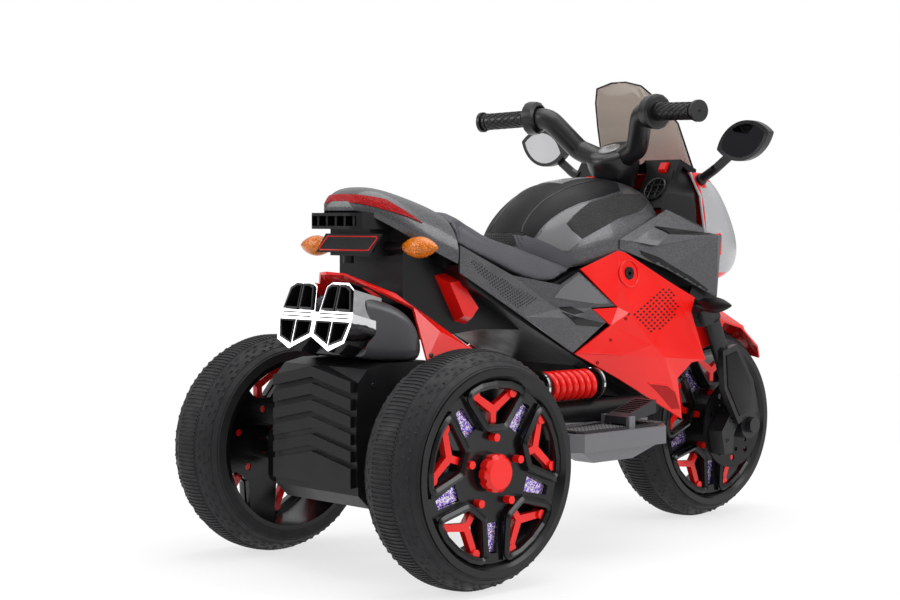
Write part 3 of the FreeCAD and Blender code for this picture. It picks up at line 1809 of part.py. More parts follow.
def handlebar_shape():
    boss = upright_cylinder(38, 0, 0, boss_low, boss_high)
    boss = boss.makeFillet(10, [e for e in boss.Edges if e.Length > 100 and e.BoundBox.ZMin > boss_low + 5])
    keel = Part.makeCone(24, 38, boss_low - keel_low, Vector(0, 0, keel_low), Vector(0, 0, 1))
    arms = []
    for side in (-1, 1):
        end = sided(grip_root, side)
        way = sided(grip_run, side).normalize()
        corners = [Vector(0, side * 8, 438), Vector(-3, side * 58, 462), Vector(-10, side * 92, 517), end]
        arms.append(bent_bar(corners, 24, float(dim("bar_radius"))))
        arms.append(Part.makeCylinder(8, float(dim("grip_length")) - 8, end, way))
        arms.append(Part.makeCylinder(21, 9, end - way * 5, way))
    socket = upright_cylinder(float(dim("stem_radius")), 0, 0, keel_low - 5, boss_low + 8)
    return boss.fuse([keel] + arms).cut(socket).removeSplitter()


steered("handlebar", handlebar_shape())


def grip_shape(side):
    way = sided(grip_run, side).normalize()
    start = sided(grip_root, side) + way * 4.2
    length = float(dim("grip_length"))
    radius = float(dim("grip_radius"))
    body = Part.makeCylinder(radius, length, start, way)
    flange = Part.makeCylinder(radius + 3.5, 5, start + way * (length - 5), way)
    core = Part.makeCylinder(8, length - 10, start - way, way)
    return body.fuse(flange).cut(core).removeSplitter()


grips = Part.makeCompound([grip_shape(1), grip_shape(-1)])
steered("grips", grips)


# Mirrors on the shoulders of the cowl: a stalk that swells into a shell, and the glass in its back
def mirror_shapes():
    foot = mirror_foot
    bend = point(550, -142, 536)
    head = point(549, -199, 576)
    stalk = bent_bar([foot, bend, head], 30, 7)
    ends = [Vector(-8, 48, 0), Vector(-8, -48, 0)]
    upper = Part.Arc(ends[0], Vector(-8, 6, 28), ends[1]).toShape()
    lower = Part.Arc(ends[1], Vector(-8, -8, -28), ends[0]).toShape()
    shell = Part.Face(Part.Wire([upper, lower])).extrude(Vector(18, 0, 0))
    shell = shell.makeFillet(8, [e for e in shell.Edges if e.BoundBox.XMin > 5])
    glass_upper = Part.Arc(Vector(-8, 40, 0), Vector(-8, 5, 23), Vector(-8, -40, 0)).toShape()
    glass_lower = Part.Arc(Vector(-8, -40, 0), Vector(-8, -7, -23), Vector(-8, 40, 0)).toShape()
    glass = Part.Face(Part.Wire([glass_upper, glass_lower])).extrude(Vector(4, 0, 0))
    shell = shell.cut(glass)
    for shape in (shell, glass):
        shape.rotate(Vector(), Vector(1, 0, 0), -14)
        shape.translate(head)
    knob_foot = Part.makeSphere(mirror_ball, foot)
    room = Part.makeBox(14, 120, 80, head + Vector(-13.9, -60, -40))
    whole = shell.fuse([stalk.cut(room).cut(glass), knob_foot]).removeSplitter()
    return whole, glass


mirror_shell, mirror_glass = mirror_shapes()
keep("mirror_right", feature("mirror_right", mirror_shell))
keep("mirror_glass_right", feature("mirror_glass_right", mirror_glass))
keep("mirror_left", mirrored("mirror_left", nodes["mirror_right"]))
keep("mirror_glass_left", mirrored("mirror_glass_left", nodes["mirror_glass_right"]))

# Rocker switch on the right of the dash and start button on the tank
dash_lean = Rotation(Vector(0, 1, 0), math.degrees(math.atan2(46, 71)))
dash_out = dash_lean.multVec(Vector(-1, 0, 0))
rocker_at = point(516, -75, 539)


def dash_block(length, width, inward, outward):
    """A block set square in the dash face round the rocker's place."""
    block = Part.makeBox(inward + outward, width, length, Vector(-outward, -width / 2, -length / 2))
    block.Placement = Placement(rocker_at, dash_lean)
    return block


rocker_length = float(dim("rocker_length"))
rocker_width = float(dim("rocker_width"))
rocker_room = dash_block(rocker_length + 2, rocker_width + 0.8, 5, 20)
rocker_end = rocker_at - Vector(0, rocker_width / 2, 0) - dash_out * 2
rocker_round = Part.makeCylinder(rocker_length / 2, rocker_width, rocker_end, Vector(0, 1, 0))
keep("rocker", feature("rocker", dash_block(rocker_length, rocker_width, 3, 5).common(rocker_round)))
nodes["dash_panel"].Shape = dash_blank.cut(rocker_room)

button_radius = float(dim("button_radius"))
button_height = 526
button_back = 60.6
stem_there = on_axis((button_height - 150) / AXIS.z)
button_top = Vector(stem_there.x - button_back, 0, float(up(button_height)))
button_stem = Part.makeCylinder(button_radius, 16, button_top - Vector(0, 0, 16))
button_foot = Part.makeCylinder(button_radius + 2, 2, button_top - Vector(0, 0, 16))
hole_radius = button_radius + float(dim("running_gap")) * 2
button_hole = Part.makeCylinder(hole_radius, 60, button_top - Vector(0, 0, 30))
keep("start_button", feature("start_button", button_stem.fuse(button_foot).removeSplitter()))
nodes["tank_cover"].Shape = nodes["tank_cover"].Shape.cut(button_hole)

# Write every piece after checking it
doc.recompute()
os.makedirs("parts", exist_ok=True)
for old in os.listdir("parts"):
    os.remove(os.path.join("parts", old))
problems = []
for obj in doc.Objects:
    if "Invalid" in obj.State or "Error" in obj.State:
        problems.append(f"{obj.Name}: {obj.State}")
for name, obj in nodes.items():
    shape = obj.Shape
    if shape.isNull() or not shape.isValid() or shape.Volume <= 0:
        problems.append(f"{name}: bad shape")
        continue
    shape.exportStep(f"parts/{name}.step")
    limits = shape.optimalBoundingBox(False)
    ends = (limits.XMin, limits.XMax, limits.YMin, limits.YMax, limits.ZMin, limits.ZMax)
    spans = [round(v, 1) for v in ends]
    print(name, len(shape.Solids), round(shape.Volume / 1000, 1), spans)
for line in problems:
    print("PROBLEM", line)
print(len(nodes), "pieces")
if problems:
    raise SystemExit(1)
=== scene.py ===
from math import cos, pi, radians, sin, sqrt, tan

import bmesh
import bpy
from mathutils import Matrix, Vector
from mathutils.bvhtree import BVHTree
from mathutils.geometry import delaunay_2d_cdt


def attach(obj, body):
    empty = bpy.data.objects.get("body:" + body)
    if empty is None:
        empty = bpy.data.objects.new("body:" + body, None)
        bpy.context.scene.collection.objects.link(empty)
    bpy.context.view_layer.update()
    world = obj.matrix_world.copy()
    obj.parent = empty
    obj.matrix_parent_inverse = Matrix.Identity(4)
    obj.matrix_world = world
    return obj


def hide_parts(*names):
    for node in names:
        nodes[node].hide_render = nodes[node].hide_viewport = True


# Kids electric motorbike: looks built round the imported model. Metres, X forward, Y left, Z up.
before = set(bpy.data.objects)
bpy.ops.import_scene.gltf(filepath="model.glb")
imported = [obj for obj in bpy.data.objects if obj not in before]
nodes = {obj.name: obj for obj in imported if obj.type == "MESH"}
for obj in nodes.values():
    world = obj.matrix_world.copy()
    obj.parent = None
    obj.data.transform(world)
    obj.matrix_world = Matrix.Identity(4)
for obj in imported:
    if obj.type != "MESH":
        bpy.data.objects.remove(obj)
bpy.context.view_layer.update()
scene = bpy.context.scene
MM = 0.001
HALF_BASE = 336
AXLE_HEIGHT = 150
WHITE = (1, 1, 1, 1)


def turns(count, shift=0.0):
    """Angles spread evenly round one full turn."""
    return [2 * pi * (k + shift) / count for k in range(count)]


def placed(name, data):
    """A new object in the scene."""
    obj = bpy.data.objects.new(name, data)
    scene.collection.objects.link(obj)
    return obj


def looking(start, aim):
    """The turn that points a camera or a lamp from one place at another."""
    return (Vector(aim) - Vector(start)).to_track_quat("-Z", "Y")


# Materials
class Tree:
    """A node tree, cleared, with short ways to add nodes and links."""

    def __init__(self, tree):
        self.tree = tree
        tree.nodes.clear()

    def node(self, kind, inputs=None, **settings):
        node = self.tree.nodes.new(kind)
        for key, value in settings.items():
            setattr(node, key, value)
        for socket, value in (inputs or {}).items():
            node.inputs[socket].default_value = value
        return node

    def link(self, source, target):
        self.tree.links.new(source, target)

    def blend(self, factor, first, second):
        """Two surfaces or lights, mixed by a factor."""
        mix = self.node("ShaderNodeMixShader")
        for socket, source in zip(mix.inputs, (factor, first, second)):
            self.link(source, socket)
        return mix.outputs["Shader"]

    def ranged(self, value, low, high, start=0.0, end=1.0, **settings):
        limits = {"From Min": start, "From Max": end, "To Min": low, "To Max": high}
        spread = self.node("ShaderNodeMapRange", limits, **settings)
        self.link(value, spread.inputs["Value"])
        return spread.outputs["Result"]

    def finish(self, kind, source):
        self.link(source, self.node(kind).inputs["Surface"])


class Shader(Tree):
    """A material with a Principled surface and short ways to vary it."""

    def __init__(self, name, color, roughness, **sockets):
        self.material = bpy.data.materials.new(name)
        self.material.use_nodes = True
        super().__init__(self.material.node_tree)
        self.base = color
        plain_surface = {"Base Color": (*color, 1), "Roughness": roughness}
        self.surface = self.node("ShaderNodeBsdfPrincipled", plain_surface)
        for socket, value in sockets.items():
            self.surface.inputs[socket.replace("_", " ")].default_value = value
        self.finish("ShaderNodeOutputMaterial", self.surface.outputs["BSDF"])
        self.coords = self.node("ShaderNodeTexCoord").outputs["Object"]
        self.normal = None

    def noise(self, scale, detail):
        texture = self.node("ShaderNodeTexNoise", {"Scale": scale, "Detail": detail})
        self.link(self.coords, texture.inputs["Vector"])
        return texture.outputs["Fac"]

    def cells(self, scale, feature="F1", output="Distance"):
        texture = self.node("ShaderNodeTexVoronoi", {"Scale": scale}, feature=feature)
        self.link(self.coords, texture.inputs["Vector"])
        return texture.outputs[output]

    def flakes(self, scale):
        """Small cells, each with its own chance values named Red, Green and Blue."""
        split = self.node("ShaderNodeSeparateColor")
        self.link(self.cells(scale, output="Color"), split.inputs["Color"])
        return split.outputs

    def color(self, source):
        self.link(source, self.surface.inputs["Base Color"])

    def mixed(self, factor, first, second):
        """Base colour that runs between two colours."""
        mix = self.node("ShaderNodeMix", {"A": (*first, 1), "B": (*second, 1)}, data_type="RGBA")
        self.link(factor, mix.inputs["Factor"])
        self.color(mix.outputs["Result"])

    def toned(self, factor, dark, light):
        """Base colour that runs between two tones of it."""
        self.mixed(factor, *[[min(1, c * tone) for c in self.base] for tone in (dark, light)])

    def rough(self, source):
        self.link(source, self.surface.inputs["Roughness"])

    def worn(self, scale, detail, low, high, start=0.3):
        """Roughness that wanders between two values."""
        self.rough(self.ranged(self.noise(scale, detail), low, high, start, 0.7))

    def bump(self, height, distance, strength=1.0):
        node = self.node("ShaderNodeBump", {"Strength": strength, "Distance": distance})
        self.link(height, node.inputs["Height"])
        if self.normal is not None:
            self.link(self.normal, node.inputs["Normal"])
        self.normal = node.outputs["Normal"]
        self.link(self.normal, self.surface.inputs["Normal"])


def moulded(name, color, roughness, grain=0.5, spread=0.06, shine=0.5):
    """Moulded plastic: faint cloudiness, fine grain and rubbed patches."""
    shader = Shader(name, color, roughness, Specular_IOR_Level=shine)
    shader.toned(shader.noise(9, 4), 0.86, 1.12)
    shader.worn(34, 5, max(0.02, roughness - spread), roughness + spread)
    shader.bump(shader.noise(1400, 2), 0.00012 * grain)
    shader.bump(shader.noise(16, 2), 0.0006 * grain, 0.3)
    return shader


def metallic_grey(name, color):
    """Grey paint with fine flakes under a clear coat."""
    shader = Shader(name, color, 0.34, Metallic=0.45, Coat_Weight=0.35, Coat_Roughness=0.08)
    flakes = shader.flakes(1900)
    shader.toned(shader.ranged(flakes["Red"], 0.0, 1.0, 0.35), 0.7, 2.2)
    shader.worn(40, 4, 0.27, 0.42)
    shader.bump(flakes["Green"], 0.00004)
    return shader


def rubber(name, color):
    shader = Shader(name, color, 0.6, Specular_IOR_Level=0.3)
    shader.toned(shader.noise(14, 5), 0.75, 1.35)
    shader.worn(60, 4, 0.5, 0.72)
    shader.bump(shader.noise(900, 3), 0.0002)
    return shader


def leather(name, color):
    shader = Shader(name, color, 0.42)
    shader.toned(shader.noise(12, 4), 0.8, 1.25)
    shader.worn(45, 4, 0.34, 0.52)
    creases = shader.cells(520, feature="DISTANCE_TO_EDGE")
    shader.bump(shader.ranged(creases, 0.0, 1.0, 0.0, 0.12), 0.00018, 0.7)
    return shader


def polished_metal(name, color, roughness, ripple=0.0002):
    shader = Shader(name, color, roughness, Metallic=1.0)
    shader.toned(shader.noise(22, 5), 0.93, 1.0)
    shader.worn(70, 4, roughness * 0.6, roughness * 1.7)
    shader.bump(shader.noise(120, 3), 0.00006)
    shader.bump(shader.noise(34, 2), ripple)
    return shader


def lens(name, color, prisms, shine):
    """Clear coloured plastic with moulded prisms inside."""
    coat = {"Coat_Weight": shine, "Coat_Roughness": 0.05}
    shader = Shader(name, color, 0.12, Specular_IOR_Level=shine * 0.6, **coat)
    edges = shader.cells(prisms, feature="DISTANCE_TO_EDGE")
    facet = shader.ranged(edges, 0.0, 1.0, 0.0, 0.25)
    shader.toned(facet, 0.45, 1.2)
    shader.worn(80, 3, 0.1, 0.22)
    shader.bump(facet, 0.00022)
    return shader


def smoked(name, color, alpha):
    shader = Shader(name, color, 0.06, Alpha=alpha, Coat_Weight=0.5, Coat_Roughness=0.03)
    shader.toned(shader.noise(7, 3), 0.9, 1.0)
    shader.worn(50, 4, 0.03, 0.1)
    return shader


def silvered(name, color, metallic):
    shader = Shader(name, color, 0.02, Metallic=metallic)
    shader.toned(shader.noise(26, 4), 0.8, 1.0)
    shader.worn(40, 4, 0.01, 0.05, 0.35)
    return shader


def textured(name):
    """Rough dark plastic with rows of fine pips."""
    shader = Shader(name, (0.012, 0.012, 0.012), 0.55, Specular_IOR_Level=0.35)
    pips = shader.ranged(shader.cells(430), 1.0, 0.0, 0.1, 0.5)
    shader.mixed(pips, (0.007, 0.007, 0.007), (0.035, 0.034, 0.032))
    shader.worn(50, 3, 0.45, 0.65)
    shader.bump(pips, 0.0006)
    return shader


def glitter(name):
    """Holographic film: tiny diamonds that flash blue, violet and white."""
    shader = Shader(name, (0.8, 0.8, 0.9), 0.18, Metallic=0.75)
    flakes = shader.flakes(620)
    ramp = shader.node("ShaderNodeValToRGB")
    stops = [
        (0.0, (0.05, 0.03, 0.35)),
        (0.3, (0.2, 0.1, 0.7)),
        (0.52, (0.7, 0.55, 0.85)),
        (0.75, (0.95, 0.95, 1.0)),
        (1.0, (0.4, 0.1, 0.3)),
    ]
    while len(ramp.color_ramp.elements) < len(stops):
        ramp.color_ramp.elements.new(0.5)
    for element, (place, color) in zip(ramp.color_ramp.elements, stops):
        element.position = place
        element.color = (*color, 1)
    shader.link(flakes["Red"], ramp.inputs["Fac"])
    shader.color(ramp.outputs["Color"])
    shader.rough(shader.ranged(flakes["Blue"], 0.08, 0.4))
    shader.bump(flakes["Green"], 0.0004)
    return shader


looks = {
    "tyre": rubber("tyre_rubber", (0.011, 0.011, 0.0125)),
    "black": moulded("moulded_black", (0.0065, 0.0065, 0.0075), 0.34, shine=0.24),
    "satin": moulded("satin_black", (0.009, 0.009, 0.0102), 0.3, 0.4, shine=0.42),
    "gloss": moulded("gloss_black", (0.004, 0.004, 0.0046), 0.2, 0.25, 0.05, shine=0.36),
    "red": moulded("moulded_red", (0.78, 0.009, 0.006), 0.2, 0.25, 0.05, shine=0.42),
    # A darker copy of the red: painted shade, used for the panel recess and the panel screws.
    "shade_red": moulded("shaded_red", (0.36, 0.003, 0.003), 0.34, 0.25, shine=0.2),
    "grey": metallic_grey("flake_grey", (0.056, 0.056, 0.06)),
    "silver": metallic_grey("flake_silver", (0.2, 0.2, 0.205)),
    "light": moulded("light_grey", (0.36, 0.36, 0.37), 0.24, 0.2),
    "pale_grey": moulded("pale_grey", (0.13, 0.13, 0.135), 0.2, 0.2),
    "dark_grey": moulded("moulded_grey", (0.026, 0.026, 0.03), 0.45, shine=0.35),
    "seat": leather("seat_cover", (0.046, 0.046, 0.055)),
    "foot_grey": moulded("foot_grey", (0.13, 0.13, 0.14), 0.4),
    "pipe_grey": moulded("pipe_grey", (0.056, 0.056, 0.061), 0.34, 0.4),
    "chrome": polished_metal("bright_plate", (0.72, 0.72, 0.735), 0.05, 0.0007),
    "steel": polished_metal("turned_steel", (0.55, 0.55, 0.57), 0.25),
    "amber": lens("amber_lens", (0.78, 0.19, 0.004), 330, 0.4),
    "red_lens": lens("red_lens", (0.4, 0.006, 0.008), 420, 0.12),
    "smoke": smoked("smoked_sheet", (0.55, 0.43, 0.33), 0.68),
    "clear": smoked("lamp_cover", (0.75, 0.78, 0.82), 0.4),
    # Left mirror glass: a pale, part-metal face whose brightness is a painted reflection of the white room.
    "mirror": silvered("mirror_face", (0.9, 0.91, 0.93), 0.3),
    # Right mirror glass: a dark copy of the mirror face, painted shade in its reflection.
    "mirror_shade_look": silvered("shaded_mirror_face", (0.1, 0.1, 0.11), 1.0),
    "pad": moulded("pad_black", (0.008, 0.008, 0.009), 0.4, shine=0.12),
    "glitter": glitter("glitter_film"),
    "textured": textured("textured_grey"),
}
NODE_LOOKS = {
    "tyre": ["rear_left_tyre", "rear_right_tyre", "front_tyre"],
    "gloss": ["rear_left_rim", "rear_right_rim", "front_rim", "number_plate"],
    "red": [
        "rear_left_inserts", "rear_right_inserts", "front_inserts", "side_panel_left", "side_panel_right",
        "pods", "rear_mudguard", "springs", "front_cowl", "front_mudguard", "rocker", "start_button",
    ],
    "grey": ["tank_cover", "tail_cowl", "side_fairing_left", "side_fairing_right", "side_covers"],
    "satin": [
        "handlebar", "grips", "mirror_left", "mirror_right", "fork_left", "fork_right", "front_axle", "yoke",
        "caliper",
    ],
    "dark_grey": ["foot_mat_left", "foot_mat_right", "pedal"],
    "foot_grey": ["footrest"],
    "pipe_grey": ["muffler"],
    "seat": ["seat_cushion"],
    "chrome": ["pipe_caps"],
    "steel": ["rear_axle"],
    "amber": ["rear_indicators"],
    "red_lens": ["tail_light"],
    "smoke": ["windscreen"],
    "clear": ["headlight"],
    "mirror": ["mirror_glass_left"],
    # The right mirror glass wears the painted-shade copy of the mirror face.
    "mirror_shade_look": ["mirror_glass_right"],
}
dressed = {name: look for look, names in NODE_LOOKS.items() for name in names}


def wear(mesh, look):
    mesh.materials.clear()
    mesh.materials.append(looks[look].material)


def smoothing(degrees):
    """A node group that rounds the shading of gentle edges and keeps the sharper ones."""
    group = bpy.data.node_groups.new(f"smooth_to_{degrees}_degrees", "GeometryNodeTree")
    for way in ("INPUT", "OUTPUT"):
        group.interface.new_socket("Geometry", in_out=way, socket_type="NodeSocketGeometry")
    tree = Tree(group)
    angle = tree.node("GeometryNodeInputMeshEdgeAngle")
    sharp = tree.node("FunctionNodeCompare", {"B": radians(degrees)}, operation="GREATER_THAN")
    edges = tree.node("GeometryNodeSetShadeSmooth", {"Shade Smooth": False}, domain="EDGE")
    tree.link(angle.outputs["Unsigned Angle"], sharp.inputs["A"])
    tree.link(sharp.outputs["Result"], edges.inputs["Selection"])
    chain = [
        tree.node("NodeGroupInput"),
        tree.node("GeometryNodeMergeByDistance", {"Distance": 0.01 * MM}),
        tree.node("GeometryNodeSetShadeSmooth", domain="FACE"),
        edges,
        tree.node("NodeGroupOutput"),
    ]
    for first, second in zip(chain, chain[1:]):
        tree.link(first.outputs["Geometry"], second.inputs["Geometry"])
    return group


rounded_group = smoothing(31)
creased_group = smoothing(3)
CREASED = [
    "side_panel_left", "side_panel_right", "side_fairing_left", "side_fairing_right", "side_covers",
    "rear_mudguard", "pods", "front_mudguard",
]


def smooth(obj, group=rounded_group):
    obj.modifiers.new("smooth", "NODES").node_group = group


for name, obj in nodes.items():
    wear(obj.data, dressed.get(name, "black"))
    smooth(obj, creased_group if name in CREASED else rounded_group)

# Camera, fitted to the photograph
IMAGE_WIDTH = 900
FOCAL_PIXELS = 1861.15
SENSOR_WIDTH = 36
CAMERA_AT = Vector((-1.93754, -1.86487, 0.45875))
CAMERA_AIM = Vector((-0.08683, 0.10326, 0.34511))
CAMERA_ROLL = radians(0.106)
camera_data = bpy.data.cameras.new("camera")
camera_data.sensor_fit = "HORIZONTAL"
camera_data.sensor_width = SENSOR_WIDTH
camera_data.lens = FOCAL_PIXELS / IMAGE_WIDTH * SENSOR_WIDTH
camera_data.clip_end = 200
camera = placed("camera", camera_data)
camera_turn = looking(CAMERA_AT, CAMERA_AIM).to_matrix().to_4x4() @ Matrix.Rotation(CAMERA_ROLL, 4, "Z")
camera.matrix_world = Matrix.Translation(CAMERA_AT) @ camera_turn
scene.camera = camera


# Building pieces
class Build:
    """Points and faces of one piece, gathered from several forms."""

    def __init__(self):
        self.points = []
        self.faces = []

    def add(self, points, faces):
        start = len(self.points)
        self.points += [Vector(p) for p in points]
        self.faces += [tuple(i + start for i in face) for face in faces]
        return self

    def rings(self, rings, closed=False, capped=False):
        """Skin rings of equal size; closed joins the last ring to the first."""
        size = len(rings[0])
        count = len(rings)
        faces = []
        for i in range(count if closed else count - 1):
            a, b = i * size, (i + 1) % count * size
            for j in range(size):
                k = (j + 1) % size
                faces.append((a + j, a + k, b + k, b + j))
        if capped:
            faces.append(tuple(reversed(range(size))))
            faces.append(tuple(range((count - 1) * size, count * size)))
        return self.add([p for ring in rings for p in ring], faces)

    def tube(self, path, radius, sides=8, closed=False):
        """A round bar along a path, its radius in mm."""
        count = len(path)
        size = radius * MM
        rings = []
        side = None
        for i, p in enumerate(path):
            before = path[i - 1] if closed or i else p
            after = path[(i + 1) % count] if closed or i < count - 1 else p
            way = (after - before).normalized()
            if side is None:
                side = way.orthogonal().normalized()
            side = (side - way * side.dot(way)).normalized()
            up = way.cross(side)
            rings.append([p + side * (cos(a) * size) + up * (sin(a) * size) for a in turns(sides)])
        return self.rings(rings, closed=closed, capped=not closed)

    def turned(self, profile, centre, axis, steps):
        """A ring or dome: points given by radius and height in mm, turned about an axis."""
        axis = Vector(axis).normalized()
        side = axis.orthogonal().normalized()
        up = axis.cross(side)
        rings = []
        for a in turns(steps):
            out = side * cos(a) + up * sin(a)
            rings.append([Vector(centre) + out * (r * MM) + axis * (h * MM) for r, h in profile])
        return self.rings(rings, closed=True)


def joined(mesh, distance):
    """A mesh opened for work, its doubled points joined and its faces turned outwards."""
    shape = bmesh.new()
    shape.from_mesh(mesh)
    bmesh.ops.remove_doubles(shape, verts=shape.verts, dist=distance)
    bmesh.ops.recalc_face_normals(shape, faces=shape.faces)
    return shape


def piece(name, build, look, body="chassis"):
    mesh = bpy.data.meshes.new(name)
    mesh.from_pydata(build.points, [], build.faces)
    shape = joined(mesh, 0.002 * MM)
    shape.to_mesh(mesh)
    shape.free()
    wear(mesh, look)
    obj = placed(name, mesh)
    smooth(obj)
    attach(obj, body)


def at(ahead, side, height):
    """A place given in mm ahead of the rear axle, out to the left, and above the ground."""
    return Vector((ahead - HALF_BASE, side, height)) * MM


def on_right(places):
    """Places on the right, given by how far ahead, out and up they are."""
    return [at(ahead, -side, height) for ahead, side, height in places]


def mirrored(p):
    return Vector((p.x, -p.y, p.z))


def both_sides(build):
    """Adds the mirror image of what has been built, across the middle plane."""
    return build.add([mirrored(p) for p in build.points], [tuple(reversed(face)) for face in build.faces])


def rounded(corners, radius, steps=5):
    """A closed outline of flat points with its corners rounded."""
    longest = 0.48
    outline = []
    count = len(corners)
    for i, corner in enumerate(corners):
        corner = Vector(corner)
        back = Vector(corners[i - 1]) - corner
        ahead = Vector(corners[(i + 1) % count]) - corner
        half = back.angle(ahead) / 2
        run = min(radius / tan(half), back.length * longest, ahead.length * longest)
        start, end = corner + back.normalized() * run, corner + ahead.normalized() * run
        for k in range(steps + 1):
            t = k / steps
            outline.append(start * (1 - t) ** 2 + corner * (2 * t * (1 - t)) + end * t ** 2)
    return outline


# Wheels: tread, window frames and glitter wedges
HALF_TRACK = 199
WHEELS = {
    "rear_left": (at(0, HALF_TRACK, AXLE_HEIGHT), 1, "rear_wheel_left"),
    "rear_right": (at(0, -HALF_TRACK, AXLE_HEIGHT), -1, "rear_wheel_right"),
    "front": (at(2 * HALF_BASE, 0, AXLE_HEIGHT), -1, "front_wheel"),
}
SPOKES = 5
SHOULDER_EDGE = (149, 14.5)
SHOULDER_RUN = (-19, 34.5)
SHOULDER_OUT = (0.876, 0.482)
SHOULDER_BULGE = 11.3
RIB_COUNT = 168
RIB_FILL = 0.56
RIB_FOOT = 146
RIB_TOPS = [(-19, 148.6), (-14, 150.4), (-5, 151.1), (5, 151.1), (14, 150.4), (19, 148.6)]
MARK_COUNT = 54
MARK_ROWS = [0.26, 0.44, 0.62]
MARK_REACH = 0.036
MARK_RISE = 1.7
MARK_SINK = 0.2
RAISED_LINES = [(0.03, 0.02, 0.7), (0.7, 0.025, 0.6), (0.93, 0.02, 0.8)]
LINE_SINK = -0.3
WINDOW_NEAR = 56.5
WINDOW_FAR = 112
WINDOW_HALF_NEAR = 15.5
WINDOW_HALF_FAR = 50
WINDOW_CORNER = 9
FRAME_PROFILE = [(-5.4, 35), (-5.8, 43), (-4.2, 47.6), (0, 49.4), (4.2, 47.6), (5.8, 43), (5.4, 35)]
WEDGE = [(-10.6, 58.6), (10.6, 58.6), (5.8, 99), (-5.8, 99)]
WEDGE_HEIGHTS = (33.8, 35.4)


def wheel_point(wheel, u, v, w):
    """A place on a wheel in mm: u across, v up, w out of its face."""
    centre, hand, _ = WHEELS[wheel]
    return centre + Vector((hand * u, hand * w, v)) * MM


def polar_point(wheel, angle, radius, w):
    return wheel_point(wheel, sin(angle) * radius, cos(angle) * radius, w)


def shoulder(t, lift=0.0):
    """Radius and side place across the tyre's shoulder, from the tread edge to the rim."""
    bulge = SHOULDER_BULGE * t * (1 - t) + lift
    return [a + b * t + bulge * c for a, b, c in zip(SHOULDER_EDGE, SHOULDER_RUN, SHOULDER_OUT)]


def tread_ribs(build, wheel):
    half = pi / RIB_COUNT * RIB_FILL
    for middle in turns(RIB_COUNT):
        rings = []
        for w, top in RIB_TOPS:
            section = [(-half, RIB_FOOT), (-half * 0.8, top), (half * 0.8, top), (half, RIB_FOOT)]
            rings.append([polar_point(wheel, middle + turn, radius, w) for turn, radius in section])
        build.rings(rings, capped=True)


def shoulder_marks(build, wheel, side):
    """Rows of small wedges that point to and fro by turns."""
    for row, t in enumerate(MARK_ROWS):
        for i, middle in enumerate(turns(MARK_COUNT, row * 0.5)):
            reach = MARK_REACH if (i + row) % 2 else -MARK_REACH
            corners = [
                (-reach, shoulder(t - 0.07), MARK_SINK),
                (-reach, shoulder(t + 0.08), MARK_SINK),
                (reach, shoulder(t), MARK_SINK),
                (-reach * 0.6, shoulder(t, MARK_RISE), 0.0),
            ]
            points = []
            for turn, (r, w), sink in corners:
                points.append(polar_point(wheel, middle + turn, r - sink, side * w))
            build.add(points, [(0, 1, 3), (1, 2, 3), (2, 0, 3), (0, 2, 1)])


def shoulder_lines(build, wheel, side):
    for t, width, rise in RAISED_LINES:
        section = [(-width, LINE_SINK), (-width * 0.4, rise), (width * 0.4, rise), (width, LINE_SINK)]
        loop = [shoulder(t + step, lift) for step, lift in section]
        rings = [[polar_point(wheel, angle, r, side * w) for r, w in loop] for angle in turns(96)]
        build.rings(rings, closed=True)


def tread(wheel):
    build = Build()
    tread_ribs(build, wheel)
    for side in (-1, 1):
        shoulder_marks(build, wheel, side)
        shoulder_lines(build, wheel, side)
    return build


def window_path():
    """The loop round one window, with rounded corners and an outer side that follows the rim."""
    top = sqrt(WINDOW_FAR ** 2 - WINDOW_HALF_FAR ** 2) - 2
    right = [(WINDOW_HALF_NEAR, WINDOW_NEAR), (WINDOW_HALF_FAR, top)]
    right += [(WINDOW_HALF_FAR * 0.5, WINDOW_FAR - 4.5)]
    left = [(-across, up) for across, up in reversed(right)]
    return rounded(right + [(0, WINDOW_FAR - 2)] + left, WINDOW_CORNER)


def spun(points, k, offset=0.0):
    angle = -2 * pi * (k + offset) / SPOKES
    c, s = cos(angle), sin(angle)
    return [Vector((p[0] * c - p[1] * s, p[0] * s + p[1] * c)) for p in points]


def window_frames(wheel):
    build = Build()
    for k in range(SPOKES):
        loop = spun(window_path(), k)
        rings = []
        for before, p, after in zip(loop[-1:] + loop[:-1], loop, loop[1:] + loop[:1]):
            way = (after - before).normalized()
            out = Vector((way.y, -way.x))
            section = [(p + out * across, height) for across, height in FRAME_PROFILE]
            rings.append([wheel_point(wheel, q.x, q.y, height) for q, height in section])
        build.rings(rings, closed=True)
    return build


def glitter_wedges(wheel):
    build = Build()
    for k in range(SPOKES):
        wedge = spun(WEDGE, k, 0.5)
        rings = [[wheel_point(wheel, p.x, p.y, height) for p in wedge] for height in WEDGE_HEIGHTS]
        build.rings(rings, capped=True)
    return build


for wheel, (_, _, body) in WHEELS.items():
    piece("tread_" + wheel, tread(wheel), "tyre", body)
    piece("window_frames_" + wheel, window_frames(wheel), "gloss", body)
    piece("glitter_" + wheel, glitter_wedges(wheel), "glitter", body)

# Laying thin panels, beads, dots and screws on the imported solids
FAR_OUT = 900
FAR_UP = 1200
SKIN_SINK = 0.6
EDGE_GAP = 0.45
KEEP_INSIDE = 1
MERGE_GAP = 0.0001
BEAD_RISE = 0.35
DOT_SINK = 0.5
DOT_LEAN = Vector((0, 1, 0.3))
LATTICE_REACH = 40


def surface(name):
    """The solids of a node as one surface to lay things on."""
    mesh = nodes[name].data
    points = [v.co.copy() for v in mesh.vertices]
    return BVHTree.FromPolygons(points, [tuple(face.vertices) for face in mesh.polygons])


def from_right(ahead, height):
    return at(ahead, -FAR_OUT, height), Vector((0, 1, 0))


def from_above(ahead, side):
    return at(ahead, side, FAR_UP), Vector((0, 0, -1))


def from_behind(side, height):
    return at(-FAR_OUT, side, height), Vector((1, 0, 0))


def from_middle(ahead, height):
    return at(ahead, 0, height), Vector((0, -1, 0))


